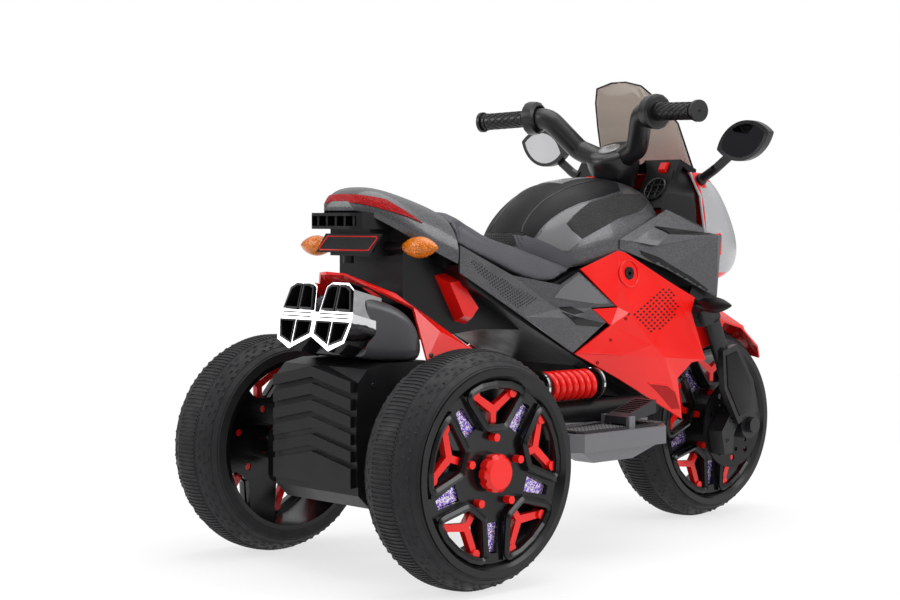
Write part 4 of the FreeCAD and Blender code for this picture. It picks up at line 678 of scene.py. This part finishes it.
def landed(ground, sight, p):
    """Where a line of sight meets the surface, and the way the surface faces there."""
    start, way = sight(p[0], p[1])
    hit, normal, _, _ = ground.ray_cast(start, way)
    if hit is None:
        return None, None
    return hit, normal if normal.dot(way) < 0 else -normal


def inside(p, outline):
    found = False
    for a, b in zip(outline, outline[1:] + outline[:1]):
        if (a.y > p.y) != (b.y > p.y) and p.x < a.x + (p.y - a.y) / (b.y - a.y) * (b.x - a.x):
            found = not found
    return found


def divided(points, spacing, closed):
    """A line of points with none much further apart than the spacing."""
    line = []
    ends = points[1:] + points[:1] if closed else points[1:]
    for a, b in zip(points, ends):
        steps = max(1, round((b - a).length / spacing))
        line += [a.lerp(b, k / steps) for k in range(steps)]
    return line if closed else line + [points[-1]]


def corners_of(points):
    """The lowest and the highest corner of the box round some points."""
    axes = range(len(points[0]))
    return [Vector([pick(p[i] for p in points) for i in axes]) for pick in (min, max)]


def filled(corners, spacing):
    """Flat points along an outline and in rows inside it, and the triangles between them."""
    outline = divided([Vector(p) for p in corners], spacing, True)
    low, high = corners_of(outline)
    flat = list(outline)
    for i in range(1, int((high.x - low.x) / spacing) + 1):
        for j in range(1, int((high.y - low.y) / spacing) + 1):
            p = low + Vector((i, j)) * spacing
            if inside(p, outline) and min((p - q).length for q in outline) > spacing * EDGE_GAP:
                flat.append(p)
    rim = list(range(len(outline)))
    flat, _, triangles, _, _, _ = delaunay_2d_cdt(flat, [], [rim], KEEP_INSIDE, MERGE_GAP)
    return flat, triangles


def skin(ground, sight, corners, rise, spacing=4.0):
    """A thin slab that follows the surface inside an outline."""
    flat, triangles = filled(corners, spacing)
    hits = [landed(ground, sight, p) for p in flat]
    triangles = [t for t in triangles if all(hits[i][0] is not None for i in t)]
    facing = [Vector() for _ in flat]
    for t in triangles:
        a, b, c = (hits[i][0] for i in t)
        normal = (b - a).cross(c - a)
        if normal.dot(hits[t[0]][1]) < 0:
            normal.negate()
        for i in t:
            facing[i] += normal
    used = sorted({i for t in triangles for i in t})
    number = {old: new for new, old in enumerate(used)}
    count = len(used)
    top = [hits[i][0] + facing[i].normalized() * rise * MM for i in used]
    base = [hits[i][0] - facing[i].normalized() * SKIN_SINK * MM for i in used]
    upper = [tuple(number[i] for i in t) for t in triangles]
    edges = {edge for a, b, c in upper for edge in ((a, b), (b, c), (c, a))}
    faces = upper + [(c + count, b + count, a + count) for a, b, c in upper]
    faces += [(b, a, a + count, b + count) for a, b in sorted(edges) if (b, a) not in edges]
    return Build().add(top + base, faces)


def side_patches(ground, outline, rise, sight=from_right, spacing=4.0):
    """A thin slab on the right side and its twin on the left."""
    return both_sides(skin(ground, sight, outline, rise, spacing))


def bead(build, ground, sight, corners, radius, spacing=4.0, closed=False):
    """A raised line along the surface."""
    path = []
    for p in divided([Vector(q) for q in corners], spacing, closed):
        hit, normal = landed(ground, sight, p)
        if hit is not None:
            path.append(hit + normal * radius * BEAD_RISE * MM)
    return build.tube(path, radius, closed=closed)


def dots(ground, sight, centres, radius, rise, sides=8, stretch=1.0):
    """Small flat studs, or the dark mouths of holes, on the surface."""
    build = Build()
    for p in centres:
        hit, normal = landed(ground, sight, p)
        if hit is None:
            continue
        side = normal.cross(DOT_LEAN).normalized()
        up = normal.cross(side)
        ring = []
        for a in turns(sides, 0.5):
            ring.append(side * (cos(a) * radius * stretch) + up * (sin(a) * radius))
        rings = [[hit + (q + normal * height) * MM for q in ring] for height in (-DOT_SINK, rise)]
        build.rings(rings, capped=True)
    return build


def lattice(outline, along, across):
    """Places in rows along two directions, kept to those inside an outline."""
    outline = [Vector(p) for p in outline]
    steps = range(-LATTICE_REACH, LATTICE_REACH)
    places = [outline[0] + Vector(along) * i + Vector(across) * j for i in steps for j in steps]
    return [p for p in places if inside(p, outline)]


def screw(build, centre, out, radius):
    """A round screw head with a dished middle."""
    profile = [(radius, -1.5), (radius, 0.6), (radius * 0.8, 1.2), (radius * 0.45, 1.3), (radius * 0.3, 0.5)]
    build.turned(profile + [(0.01, 0.5)], centre, out, 20)


def screws(places, radius):
    """Screw heads seen from the right, each place given with the surface it is on."""
    build = Build()
    for ground, p in places:
        hit, normal = landed(ground, from_right, p)
        if hit is not None:
            screw(build, hit, normal, radius)
    return build


# Fuel tank cover: black pad with seams, pale patches of painted highlight on its facets, textured patches
# and a bare plate
tank = surface("tank_cover")
PAD_EDGE = [(250, 0), (255, -28), (265, -50), (285, -55), (306, -61), (328, -67), (355, -72), (385, -73)]
PAD_EDGE += [(424, -69), (442, -48), (442, 0)]
SEAM = [(259, -33), (265, -30), (279, -29), (302, -31), (330, -37), (362, -39), (392, -38), (424, -33)]
# Pale grey patch on each flank: a painted highlight where the glossy grey facet catches the light.
TANK_HIGHLIGHT = [(268, 435), (287, 458), (310, 472), (330, 480), (352, 486), (333, 476), (319, 467)]
TANK_HIGHLIGHT += [(306, 456), (310, 446), (321, 435), (310, 426), (300, 418), (290, 419)]
TEXTURED = [(353, 486), (413, 499), (462, 499), (470, 488), (445, 476), (390, 464), (348, 447), (322, 435)]
TEXTURED += [(311, 446), (307, 456), (320, 467), (334, 476)]
TANK_PLATE = [(350, -23), (350, 23), (424, 15), (424, -15)]

pad_left = [(ahead, -side) for ahead, side in reversed(PAD_EDGE[1:-1])]
piece("tank_pad", skin(tank, from_above, PAD_EDGE + pad_left, 0.8), "pad")
piece("tank_seams", both_sides(bead(Build(), tank, from_above, SEAM, 1.3)), "satin")
# The pale patches are painted highlight, not a part of their own.
piece("tank_painted_highlights", side_patches(tank, TANK_HIGHLIGHT, 1.0), "pale_grey")
piece("tank_textured_patches", side_patches(tank, TEXTURED, 1.0), "textured")
piece("tank_plate", skin(tank, from_above, TANK_PLATE, 1.4), "silver")

# Side fairings: a faceted scoop with painted shade in the hollow above it, and a painted shadow band along
# the long crease below it
SCOOP = [(408, 110, 431), (452, 108, 452), (466, 128, 441), (440, 126, 425), (440, 115, 423)]
SCOOP += [(573, 122, 440)]
SCOOP_FACES = [(0, 1, 2, 3), (2, 5, 3), (3, 5, 4), (0, 3, 4), (0, 4, 5, 1), (1, 5, 2)]
# A thin gloss black sheet over the hollow above the scoop's ridge: painted shade.
SCOOP_SHADE = [(455, 109.5, 452.4), (467, 127, 442.4), (566, 123.6, 441.6)]
SHADE_RISE = Vector((0, -0.0004, 0.0008))
# A thin black band just below the fairing's crease: a painted shadow.
CREASE_SHADOW = [(419, 419), (457, 408), (528, 378), (581, 349), (574, 341), (520, 367), (452, 399), (424, 412)]

# The sheet in the scoop's hollow is painted shade.
shade_low = on_right(SCOOP_SHADE)
shade_high = [p + SHADE_RISE for p in shade_low]
scoop_painted_shade = both_sides(Build().rings([shade_low, shade_high], capped=True))
piece("fairing_scoops", both_sides(Build().add(on_right(SCOOP), SCOOP_FACES)), "grey")
piece("scoop_painted_shade", scoop_painted_shade, "gloss")
# Painted shadow under the crease, laid on the fairing.
piece("fairing_crease_shadows", side_patches(surface("side_fairing_right"), CREASE_SHADOW, 0.5), "black")

# Side panels: loudspeaker holes on the right, a ring round the socket, painted shade in a recess, and screws
panel = surface("side_panel_right")
SPEAKER = [(389, 328), (456, 362), (489, 361), (498, 335), (485, 320), (455, 306), (434, 299), (421, 301)]
SOCKET = Vector((398, 386))
SOCKET_RADIUS = 19
# Outline of a recess low on the panel. The darker red sheet inside it is painted shade.
RECESS = [(428, 228), (465, 223), (482, 212), (495, 187), (479, 188), (450, 212)]
PANEL_FOLD = [(296, 277), (340, 274), (372, 270)]
PANEL_SCREWS = [(panel, (384, 322)), (panel, (355, 293)), (panel, (330, 262))]

socket_edge = [SOCKET + Vector((cos(a), sin(a))) * SOCKET_RADIUS for a in turns(30)]
panel_edges = bead(Build(), panel, from_right, RECESS[:4], 1.1)
bead(panel_edges, panel, from_right, PANEL_FOLD, 0.9)
speaker_rows = lattice(SPEAKER, (7.3, 3.75), (4.9, -4.2))
piece("speaker_holes", dots(panel, from_right, speaker_rows, 1.5, 0.2, 8, 1.7), "black")
piece("socket_ring", bead(Build(), panel, from_right, socket_edge, 1.6, 6.0, True), "red")
# Painted shade: a darker red sheet where the recess lies in shadow.
piece("panel_recess_shade", side_patches(panel, RECESS, 0.35), "shade_red")
piece("panel_edges", both_sides(panel_edges), "red")
# The screw heads wear the same darker red of painted shade.
piece("panel_screws", both_sides(screws(PANEL_SCREWS, 2.6)), "shade_red")

# Side covers: a pale fin, a glossy fin with its dark mouth and a band of pierced dots
cover = surface("side_covers")
FIN_PALE = [(264, 367), (304, 388), (336, 366), (366, 344), (337, 344), (294, 349), (250, 355)]
FIN_GLOSS = [(262, 335), (286, 328), (355, 315), (344, 311), (289, 316)]
FIN_MOUTH = [(258, 342), (282, 342), (306, 333), (284, 331), (262, 338)]
PIERCED = [(90, 408), (100, 408), (128, 392), (163, 375), (214, 356), (202, 349), (179, 343), (146, 362)]
PIERCED += [(108, 390)]

pierced_rows = lattice(PIERCED, (4.6, -2.6), (1.4, -4.2))
pierced_dots = both_sides(dots(cover, from_right, pierced_rows, 1.25, 0.2, 6))
piece("cover_pale_fins", side_patches(cover, FIN_PALE, 0.9), "pale_grey")
piece("cover_gloss_fins", side_patches(cover, FIN_GLOSS, 1.2), "gloss")
piece("cover_mouths", side_patches(cover, FIN_MOUTH, 0.6), "gloss")
piece("cover_dots", pierced_dots, "black")

# Seat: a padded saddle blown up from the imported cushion
SEAT_SHRINK = 3 * MM
SEAT_VOXEL = 5 * MM
SEAT_SWELL = 6 * MM
SWELL_PRESSURE = 4
SWELL_FRAMES = 20
FACING_BACK = -0.6
FACING_DOWN = -0.5


def evaluated(obj):
    return obj.evaluated_get(bpy.context.evaluated_depsgraph_get())


def apply_modifiers(obj):
    obj.data = bpy.data.meshes.new_from_object(evaluated(obj))
    obj.modifiers.clear()


def seat_blank():
    """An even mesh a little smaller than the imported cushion, but for its rear end against the tail."""
    shape = joined(nodes["seat_cushion"].data, 0.05 * MM)
    shape.normal_update()
    for v in shape.verts:
        if v.normal.x > FACING_BACK:
            v.co -= v.normal * SEAT_SHRINK
    mesh = bpy.data.meshes.new("seat_blank")
    shape.to_mesh(mesh)
    shape.free()
    obj = placed("seat_pad", mesh)
    even = obj.modifiers.new("even", "REMESH")
    even.mode = "VOXEL"
    even.voxel_size = SEAT_VOXEL
    apply_modifiers(obj)
    return obj


def swollen(obj):
    """Cloth pressure inside the pad, its underside held and every move capped."""
    mesh = obj.data
    rest = [v.co.copy() for v in mesh.vertices]
    held = obj.vertex_groups.new(name="held")
    held.add([v.index for v in mesh.vertices if v.normal.z < FACING_DOWN], 1.0, "REPLACE")
    cloth = obj.modifiers.new("swell", "CLOTH")
    cloth.settings.use_pressure = True
    cloth.settings.uniform_pressure_force = SWELL_PRESSURE
    cloth.settings.vertex_group_mass = "held"
    cloth.settings.effector_weights.gravity = 0
    cloth.point_cache.frame_start = 1
    cloth.point_cache.frame_end = SWELL_FRAMES
    for number in range(1, SWELL_FRAMES + 1):
        scene.frame_set(number)
    full = evaluated(obj).to_mesh()
    moves = [v.co - p for v, p in zip(full.vertices, rest)]
    obj.modifiers.clear()
    obj.vertex_groups.clear()
    scene.frame_set(1)
    for v, p, move in zip(mesh.vertices, rest, moves):
        v.co = p + move * min(1.0, SEAT_SWELL / max(move.length, 1e-9))


def padded_seat():
    obj = seat_blank()
    swollen(obj)
    relax = obj.modifiers.new("relax", "SMOOTH")
    relax.iterations = 4
    relax.factor = 0.5
    finer = obj.modifiers.new("finer", "SUBSURF")
    finer.levels = 1
    finer.render_levels = 1
    apply_modifiers(obj)
    wear(obj.data, "seat")
    for face in obj.data.polygons:
        face.use_smooth = True
    return obj


seat = padded_seat()
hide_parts("seat_cushion")
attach(seat, "chassis")

# Dotted insert where the seat meets the tank
INSERT = [(-37, 442), (37, 442), (40, 425), (-40, 425)]
insert_rows = lattice(INSERT, (5.2, 0), (2.6, -3.4))
piece("seat_insert", skin(tank, from_behind, INSERT, 1.2), "black")
piece("seat_insert_dots", dots(tank, from_behind, insert_rows, 1.2, 1.9), "satin")

# Pipe mouths: black liners inside the bright caps
MOUTHS = [
    [(10, 54), (15, 82), (22, 86), (35, 86), (35, 54)],
    [(39, 54), (39, 86), (50, 86), (60, 80), (67, 54)],
    [(6, 38), (6, 22), (34, 10), (34, 38)],
    [(39, 38), (39, 8), (62, 16), (69, 38)],
]
LINER_STEPS = [(0.6, 9), (0.6, 50.1), (-1.5, 50.1), (-1.5, 50.8), (2.0, 50.5), (2.0, 11)]
GROOVES = (43.5, 48.5)
GROOVE_HALF = 0.8
GROOVE_ENDS = (9, 67)
GROOVE_DEPTHS = (49.5, 50.7)
CAP_TILT = radians(15)
CAP_FOOT = Vector((-50, 281))


def cap_point(side, up, deep):
    """A place on the pipe caps: out to a side, up from their foot and back from their root, in mm."""
    x = up * sin(CAP_TILT) - deep * cos(CAP_TILT)
    z = up * cos(CAP_TILT) + deep * sin(CAP_TILT)
    return at(CAP_FOOT.x + x, side, CAP_FOOT.y + z)


def middle_of(outline):
    return sum((Vector(p) for p in outline), Vector((0, 0))) / len(outline)


def drawn_in(outline, amount):
    """An outline with each corner moved towards its middle."""
    middle = middle_of(outline)
    return [Vector(p) + (middle - Vector(p)).normalized() * amount for p in outline]


def pipe_liners():
    build = Build()
    for outline in MOUTHS:
        for hand in (1, -1):
            rings = []
            for inward, deep in LINER_STEPS:
                rings.append([cap_point(hand * p.x, p.y, deep) for p in drawn_in(outline, inward)])
            build.rings(rings)
            build.add(rings[-1], [tuple(range(len(outline)))])
    return build


def pipe_grooves():
    """Two dark lines along the bright bar between the upper and lower mouths."""
    build = Build()
    for middle in GROOVES:
        low, high = middle - GROOVE_HALF, middle + GROOVE_HALF
        near, far = GROOVE_ENDS
        strip = [(near, low), (far, low), (far, high), (near, high)]
        for hand in (1, -1):
            rings = [[cap_point(hand * side, up, deep) for side, up in strip] for deep in GROOVE_DEPTHS]
            build.rings(rings, capped=True)
    return build


piece("pipe_liners", pipe_liners(), "black")
piece("pipe_grooves", pipe_grooves(), "black")

# Number plate: a thin red border round the bare face
PLATE = [(61, 421.5), (41, 439.5), (-61, 439.5), (-41, 421.5)]
PLATE_FACE = -31.3
plate_edge = [at(PLATE_FACE, p.x, p.y) for p in rounded(PLATE, 2.5)]
piece("plate_border", Build().tube(plate_edge, 0.9, closed=True), "red")

# Handlebar: a bare disc on the boss, faceted collars, and grips with crossing ridges
STEER_TILT = radians(25)
BOSS_TOP = (0, 0, 460)
BOSS_DISC = [(17, -1), (17, 1.2), (15.5, 2.4), (14.6, 2.4), (14, 1.6), (8, 2.3), (0.01, 2.6)]
COLLAR = [(20, -17), (24.5, -14), (25.5, -4), (25.5, 1), (22, 3.4), (15, 3.6), (14, -10), (18, -17)]
COLLAR_FLAT = 24.6
GRIP_ROOT = Vector((-14, 126, 521))
GRIP_WAY = Vector((-16, 88, 4)).normalized()
GRIP_SIDE = GRIP_WAY.orthogonal().normalized()
GRIP_UP = GRIP_WAY.cross(GRIP_SIDE)
GRIP_END = 92.2
GRIP_HOLE = [(2.2, -2), (2.2, 0.3), (0.01, 0.3)]
RIDGES = 9
RIDGE_STEPS = 24
RIDGE_TWIST = radians(198)


def steered(p):
    """A place on the steering, from mm beside, across and up its turning axis."""
    c, s = cos(STEER_TILT), sin(STEER_TILT)
    return Vector((HALF_BASE + p[0] * c - p[2] * s, p[1], AXLE_HEIGHT + p[0] * s + p[2] * c)) * MM


def grip_place(along, angle, radius):
    """A place on the left grip: along it, round it and out from its middle line."""
    out = GRIP_SIDE * cos(angle) + GRIP_UP * sin(angle)
    return steered(GRIP_ROOT + GRIP_WAY * along + out * radius)


def bar_collars():
    build = Build()
    start = steered(GRIP_ROOT)
    axis = steered(GRIP_ROOT + GRIP_WAY) - start
    build.turned(COLLAR, start, axis, 14)
    side = axis.orthogonal().normalized()
    for turn in (25, 55):
        way = Matrix.Rotation(radians(turn), 3, axis) @ side
        screw(build, start + way * COLLAR_FLAT * MM - axis * 6, way, 2.6)
    return both_sides(build)


def grip_ridges():
    build = Build()
    for hand in (1, -1):
        for first in turns(RIDGES):
            path = []
            for i in range(RIDGE_STEPS + 1):
                t = i / RIDGE_STEPS
                path.append(grip_place(14 + 62 * t, first + hand * t * RIDGE_TWIST, 12.1))
            build.tube(path, 0.8, 6)
    for along in (8, 10.5, 80):
        build.tube([grip_place(along, a, 12.3) for a in turns(32)], 1.1, 6, True)
    return both_sides(build)


def grip_holes():
    end = GRIP_ROOT + GRIP_WAY * GRIP_END
    axis = steered(end + GRIP_WAY) - steered(end)
    return both_sides(Build().turned(GRIP_HOLE, steered(end), axis, 20))


steer_axis = steered((0, 0, 1)) - steered((0, 0, 0))
boss_disc = Build().turned(BOSS_DISC, steered(BOSS_TOP), steer_axis, 40)
piece("boss_disc", boss_disc, "silver", "steering")
piece("bar_collars", bar_collars(), "satin", "steering")
piece("grip_ridges", grip_ridges(), "black", "steering")
piece("grip_holes", grip_holes(), "gloss", "steering")

# Dash: a round grille of crossing bars beside the switch
DASH_UP = Vector((46, 0, 71)).normalized()
DASH_OUT = Vector((-71, 0, 46)).normalized()
GRILLE = Vector((495, -75, 507))
BAR_ENDS = (-16.5, 16.5)
BAR_OUT = 1.6


def dash_point(side, up, out):
    p = GRILLE + Vector((0, side, 0)) + DASH_UP * up + DASH_OUT * out
    return at(p.x, p.y, p.z)


def dash_ring(radius, out):
    return [dash_point(radius * cos(a), radius * sin(a), out) for a in turns(40)]


def dash_grille():
    build = Build()
    build.tube(dash_ring(18, 1.5), 1.7, closed=True)
    for across in (-6, 6):
        build.tube([dash_point(across, end, BAR_OUT) for end in BAR_ENDS], 1.2, 6)
        build.tube([dash_point(end, across, BAR_OUT) for end in BAR_ENDS], 1.2, 6)
    return build


grille_floor = Build().rings([dash_ring(17, -0.5), dash_ring(16.5, 0.4)], capped=True)
piece("dash_grille", dash_grille(), "satin")
piece("grille_floor", grille_floor, "gloss")

# Foot mats and pedal: ribs underfoot, crossing on the mats
MAT_LOW = Vector((218, -184))
MAT_HIGH = Vector((396, -138))
MAT_TOP = 179.1
MAT_SPACING = 7
SHORTEST_RIB = 3


def mat_ribs():
    build = Build()
    across = MAT_HIGH.y - MAT_LOW.y
    first = MAT_LOW.x - across
    for slope, foot in ((1, MAT_LOW.y), (-1, MAT_HIGH.y)):
        for k in range(int((MAT_HIGH.x - first) / MAT_SPACING) + 1):
            ahead = first + k * MAT_SPACING
            start = max(0.0, MAT_LOW.x - ahead)
            end = min(across, MAT_HIGH.x - ahead)
            if end - start >= SHORTEST_RIB:
                build.tube([at(ahead + t, foot + slope * t, MAT_TOP) for t in (start, end)], 0.8, 6)
    return both_sides(build)


def pedal_ribs():
    build = Build()
    top = surface("pedal")
    for ahead in range(328, 374, 6):
        bead(build, top, from_above, [(ahead, -177), (ahead, -147)], 1.1, 6)
    return build


piece("mat_ribs", mat_ribs(), "satin")
piece("pedal_ribs", pedal_ribs(), "satin", "accelerator")

# Windscreen rim and the pale flanks of the cowl
cowl = surface("front_cowl")
SCREEN_EDGE = [(566, 90, 533.5), (540, 80, 605), (514, 61, 640), (498, 44, 660), (497, 14, 667)]
SCREEN_TOP = (500.5, 0, 667.3)
COWL_FLANK = [(568, 384), (562, 404), (557, 440), (550, 497), (549, 522), (590, 516), (635, 492), (668, 462)]
COWL_FLANK += [(674, 432), (670, 404), (640, 384)]


def screen_rim():
    right = on_right(SCREEN_EDGE)
    left = [mirrored(p) for p in reversed(right)]
    return Build().tube(right + [at(*SCREEN_TOP)] + left, 1.3)


piece("screen_rim", screen_rim(), "gloss")
piece("cowl_flanks", side_patches(cowl, COWL_FLANK, 0.7, spacing=5), "light")

# Screws on the rear mudguard and the drive housing
housing = surface("axle_housing")
BODY_SCREWS = [(surface("rear_mudguard"), (27, 286)), (housing, (-61, 251)), (housing, (-61, 120))]
piece("body_screws", both_sides(screws(BODY_SCREWS, 3.4)), "gloss")

# Cowl lining, its bright rear edge, and the seat's nose against the tank
COWL_REAR = [(570, 106.8, 374), (562, 117.8, 404), (556, 119.8, 440), (548, 116.8, 497), (546, 98.8, 532)]
LINING = [(574, 384), (567, 404), (561, 440), (554, 497), (553, 524), (600, 522), (640, 500), (660, 460)]
LINING += [(660, 390)]
SEAT_NOSE = [(252, 440), (268, 435), (280, 427), (292, 419), (306, 410), (318, 400), (305, 388), (285, 390)]
SEAT_NOSE += [(262, 400), (245, 415)]
piece("cowl_lining", side_patches(cowl, LINING, 0.6, from_middle, 6), "black")
piece("cowl_edge", both_sides(Build().tube(on_right(COWL_REAR), 2.3)), "light")
piece("seat_nose", side_patches(tank, SEAT_NOSE, 1.6), "seat")

# Fork guards: a raised plate on each, and bolts on the caliper
GUARD_PLATE = [(-19, 26), (17, 21), (26, 60), (15, 119), (-10, 124), (-26, 80)]
CALIPER_BOLTS = [(0.35, 0.3), (0.55, 0.7)]


def guard_plates():
    middle = middle_of(GUARD_PLATE)
    inner = [Vector(p).lerp(middle, 0.16) for p in GUARD_PLATE]
    rings = []
    for outline, side in ((GUARD_PLATE, -117.5), (GUARD_PLATE, -119.4), (inner, -120.6)):
        rings.append([steered((x, side, z)) for x, z in outline])
    return both_sides(Build().rings(rings, capped=True))


def caliper_bolts():
    """Bolts placed by their share of the way along and up the caliper."""
    ground = surface("caliper")
    low, high = corners_of(nodes["caliper"].bound_box)
    places = []
    for along, up in CALIPER_BOLTS:
        spot = (low.lerp(high, along).x / MM + HALF_BASE, low.lerp(high, up).z / MM)
        places.append((ground, spot))
    return screws(places, 4.0)


piece("guard_plates", guard_plates(), "black", "steering")
piece("caliper_bolts", caliper_bolts(), "gloss", "steering")

# Dark throat between each fairing and its front indicator
THROAT = [(540, 366), (566, 362), (596, 351), (592, 343), (560, 340), (532, 350)]
THROAT_SIDES = (104, 110)
throat_rings = [on_right([(ahead, side, height) for ahead, height in THROAT]) for side in THROAT_SIDES]
piece("throats", both_sides(Build().rings(throat_rings, capped=True)), "black")

# Moulded bridge under the joint between seat and tail
BRIDGE_CUT = 79
BRIDGE_DROP = 5
BRIDGE_FOOT = 398


def seat_bridge():
    cushion = surface("seat_cushion")
    crown = []
    for side in range(-80, 81, 10):
        hit, _ = landed(cushion, from_above, (BRIDGE_CUT, side))
        if hit is not None:
            crown.append((side, hit.z / MM - BRIDGE_DROP))
    outline = crown + [(crown[-1][0], BRIDGE_FOOT), (crown[0][0], BRIDGE_FOOT)]
    rings = [[at(ahead, side, z) for side, z in outline] for ahead in (64, 72, 80)]
    return Build().rings(rings, capped=True)


piece("seat_bridge", seat_bridge(), "black")

# Bright collars round the cups at both ends of each spring
COLLAR_GAP = 5 * MM


def spring_collars():
    build = Build()
    low, high = corners_of([v.co for v in nodes["springs"].data.vertices if v.co.y < 0])
    middle = (low + high) / 2
    radius = (high.z - low.z) / 2 / MM
    profile = [(radius - 2, -2.2), (radius + 0.8, -1.6), (radius + 0.8, 1.6), (radius - 2, 2.2)]
    for x in (low.x - COLLAR_GAP, high.x + COLLAR_GAP):
        build.turned(profile, (x, middle.y, middle.z), (1, 0, 0), 40)
    return both_sides(build)


piece("spring_collars", spring_collars(), "chrome")

# Floor and light
floor_mesh = bpy.data.meshes.new("floor")
floor_mesh.from_pydata([(-30, -30, 0), (30, -30, 0), (30, 30, 0), (-30, 30, 0)], [], [(0, 1, 2, 3)])
floor = placed("floor", floor_mesh)


def floor_material():
    """White floor that keeps the shadow near the object and runs out to plain white."""
    material = bpy.data.materials.new("studio_floor")
    material.use_nodes = True
    tree = Tree(material.node_tree)
    near = tree.node("ShaderNodeBsdfDiffuse", {"Color": (0.93, 0.93, 0.94, 1)})
    far = tree.node("ShaderNodeEmission", {"Color": WHITE, "Strength": 1.0})
    place = tree.node("ShaderNodeTexCoord")
    length = tree.node("ShaderNodeVectorMath", operation="LENGTH")
    tree.link(place.outputs["Object"], length.inputs[0])
    reach = tree.ranged(length.outputs["Value"], 0.7, 1.0, 0.75, 1.9, interpolation_type="SMOOTHSTEP")
    shown = tree.blend(reach, near.outputs["BSDF"], far.outputs["Emission"])
    tree.finish("ShaderNodeOutputMaterial", shown)
    return material


floor_mesh.materials.append(floor_material())


def world_light(strength):
    """Even white light, a plain white backdrop, and reflections that darken towards the ground."""
    world = bpy.data.worlds.new("studio")
    scene.world = world
    world.use_nodes = True
    tree = Tree(world.node_tree)
    light = tree.node("ShaderNodeBackground", {"Color": WHITE, "Strength": strength})
    white = tree.node("ShaderNodeBackground", {"Color": WHITE, "Strength": 1.0})
    reflected = tree.node("ShaderNodeBackground", {"Color": WHITE})
    place = tree.node("ShaderNodeTexCoord")
    split = tree.node("ShaderNodeSeparateXYZ")
    tree.link(place.outputs["Generated"], split.inputs["Vector"])
    rise = tree.ranged(split.outputs["Z"], 0.2, 0.95, 0.05, 0.6, interpolation_type="SMOOTHSTEP")
    tree.link(rise, reflected.inputs["Strength"])
    ray = tree.node("ShaderNodeLightPath").outputs
    seen = tree.node("ShaderNodeMath", operation="MAXIMUM")
    tree.link(ray["Is Camera Ray"], seen.inputs[0])
    tree.link(ray["Is Transmission Ray"], seen.inputs[1])
    backdrop = tree.blend(seen.outputs["Value"], light.outputs["Background"], white.outputs["Background"])
    shown = tree.blend(ray["Is Glossy Ray"], backdrop, reflected.outputs["Background"])
    tree.finish("ShaderNodeOutputWorld", shown)


world_light(0.62)


def softbox(name, place, aim, size, power):
    data = bpy.data.lights.new(name, "AREA")
    data.shape = "SQUARE"
    data.size = size
    data.energy = power
    lamp = placed(name, data)
    lamp.location = place
    lamp.rotation_euler = looking(place, aim).to_euler()


softbox("top_box", (0.0, -0.2, 2.6), (0, 0, 0.3), 2.4, 44)
softbox("right_box", (0.9, -2.6, 1.7), (0, 0, 0.35), 1.6, 36)
softbox("left_box", (-2.2, 1.7, 1.5), (0, 0, 0.3), 1.4, 24)

scene.view_settings.view_transform = "Standard"
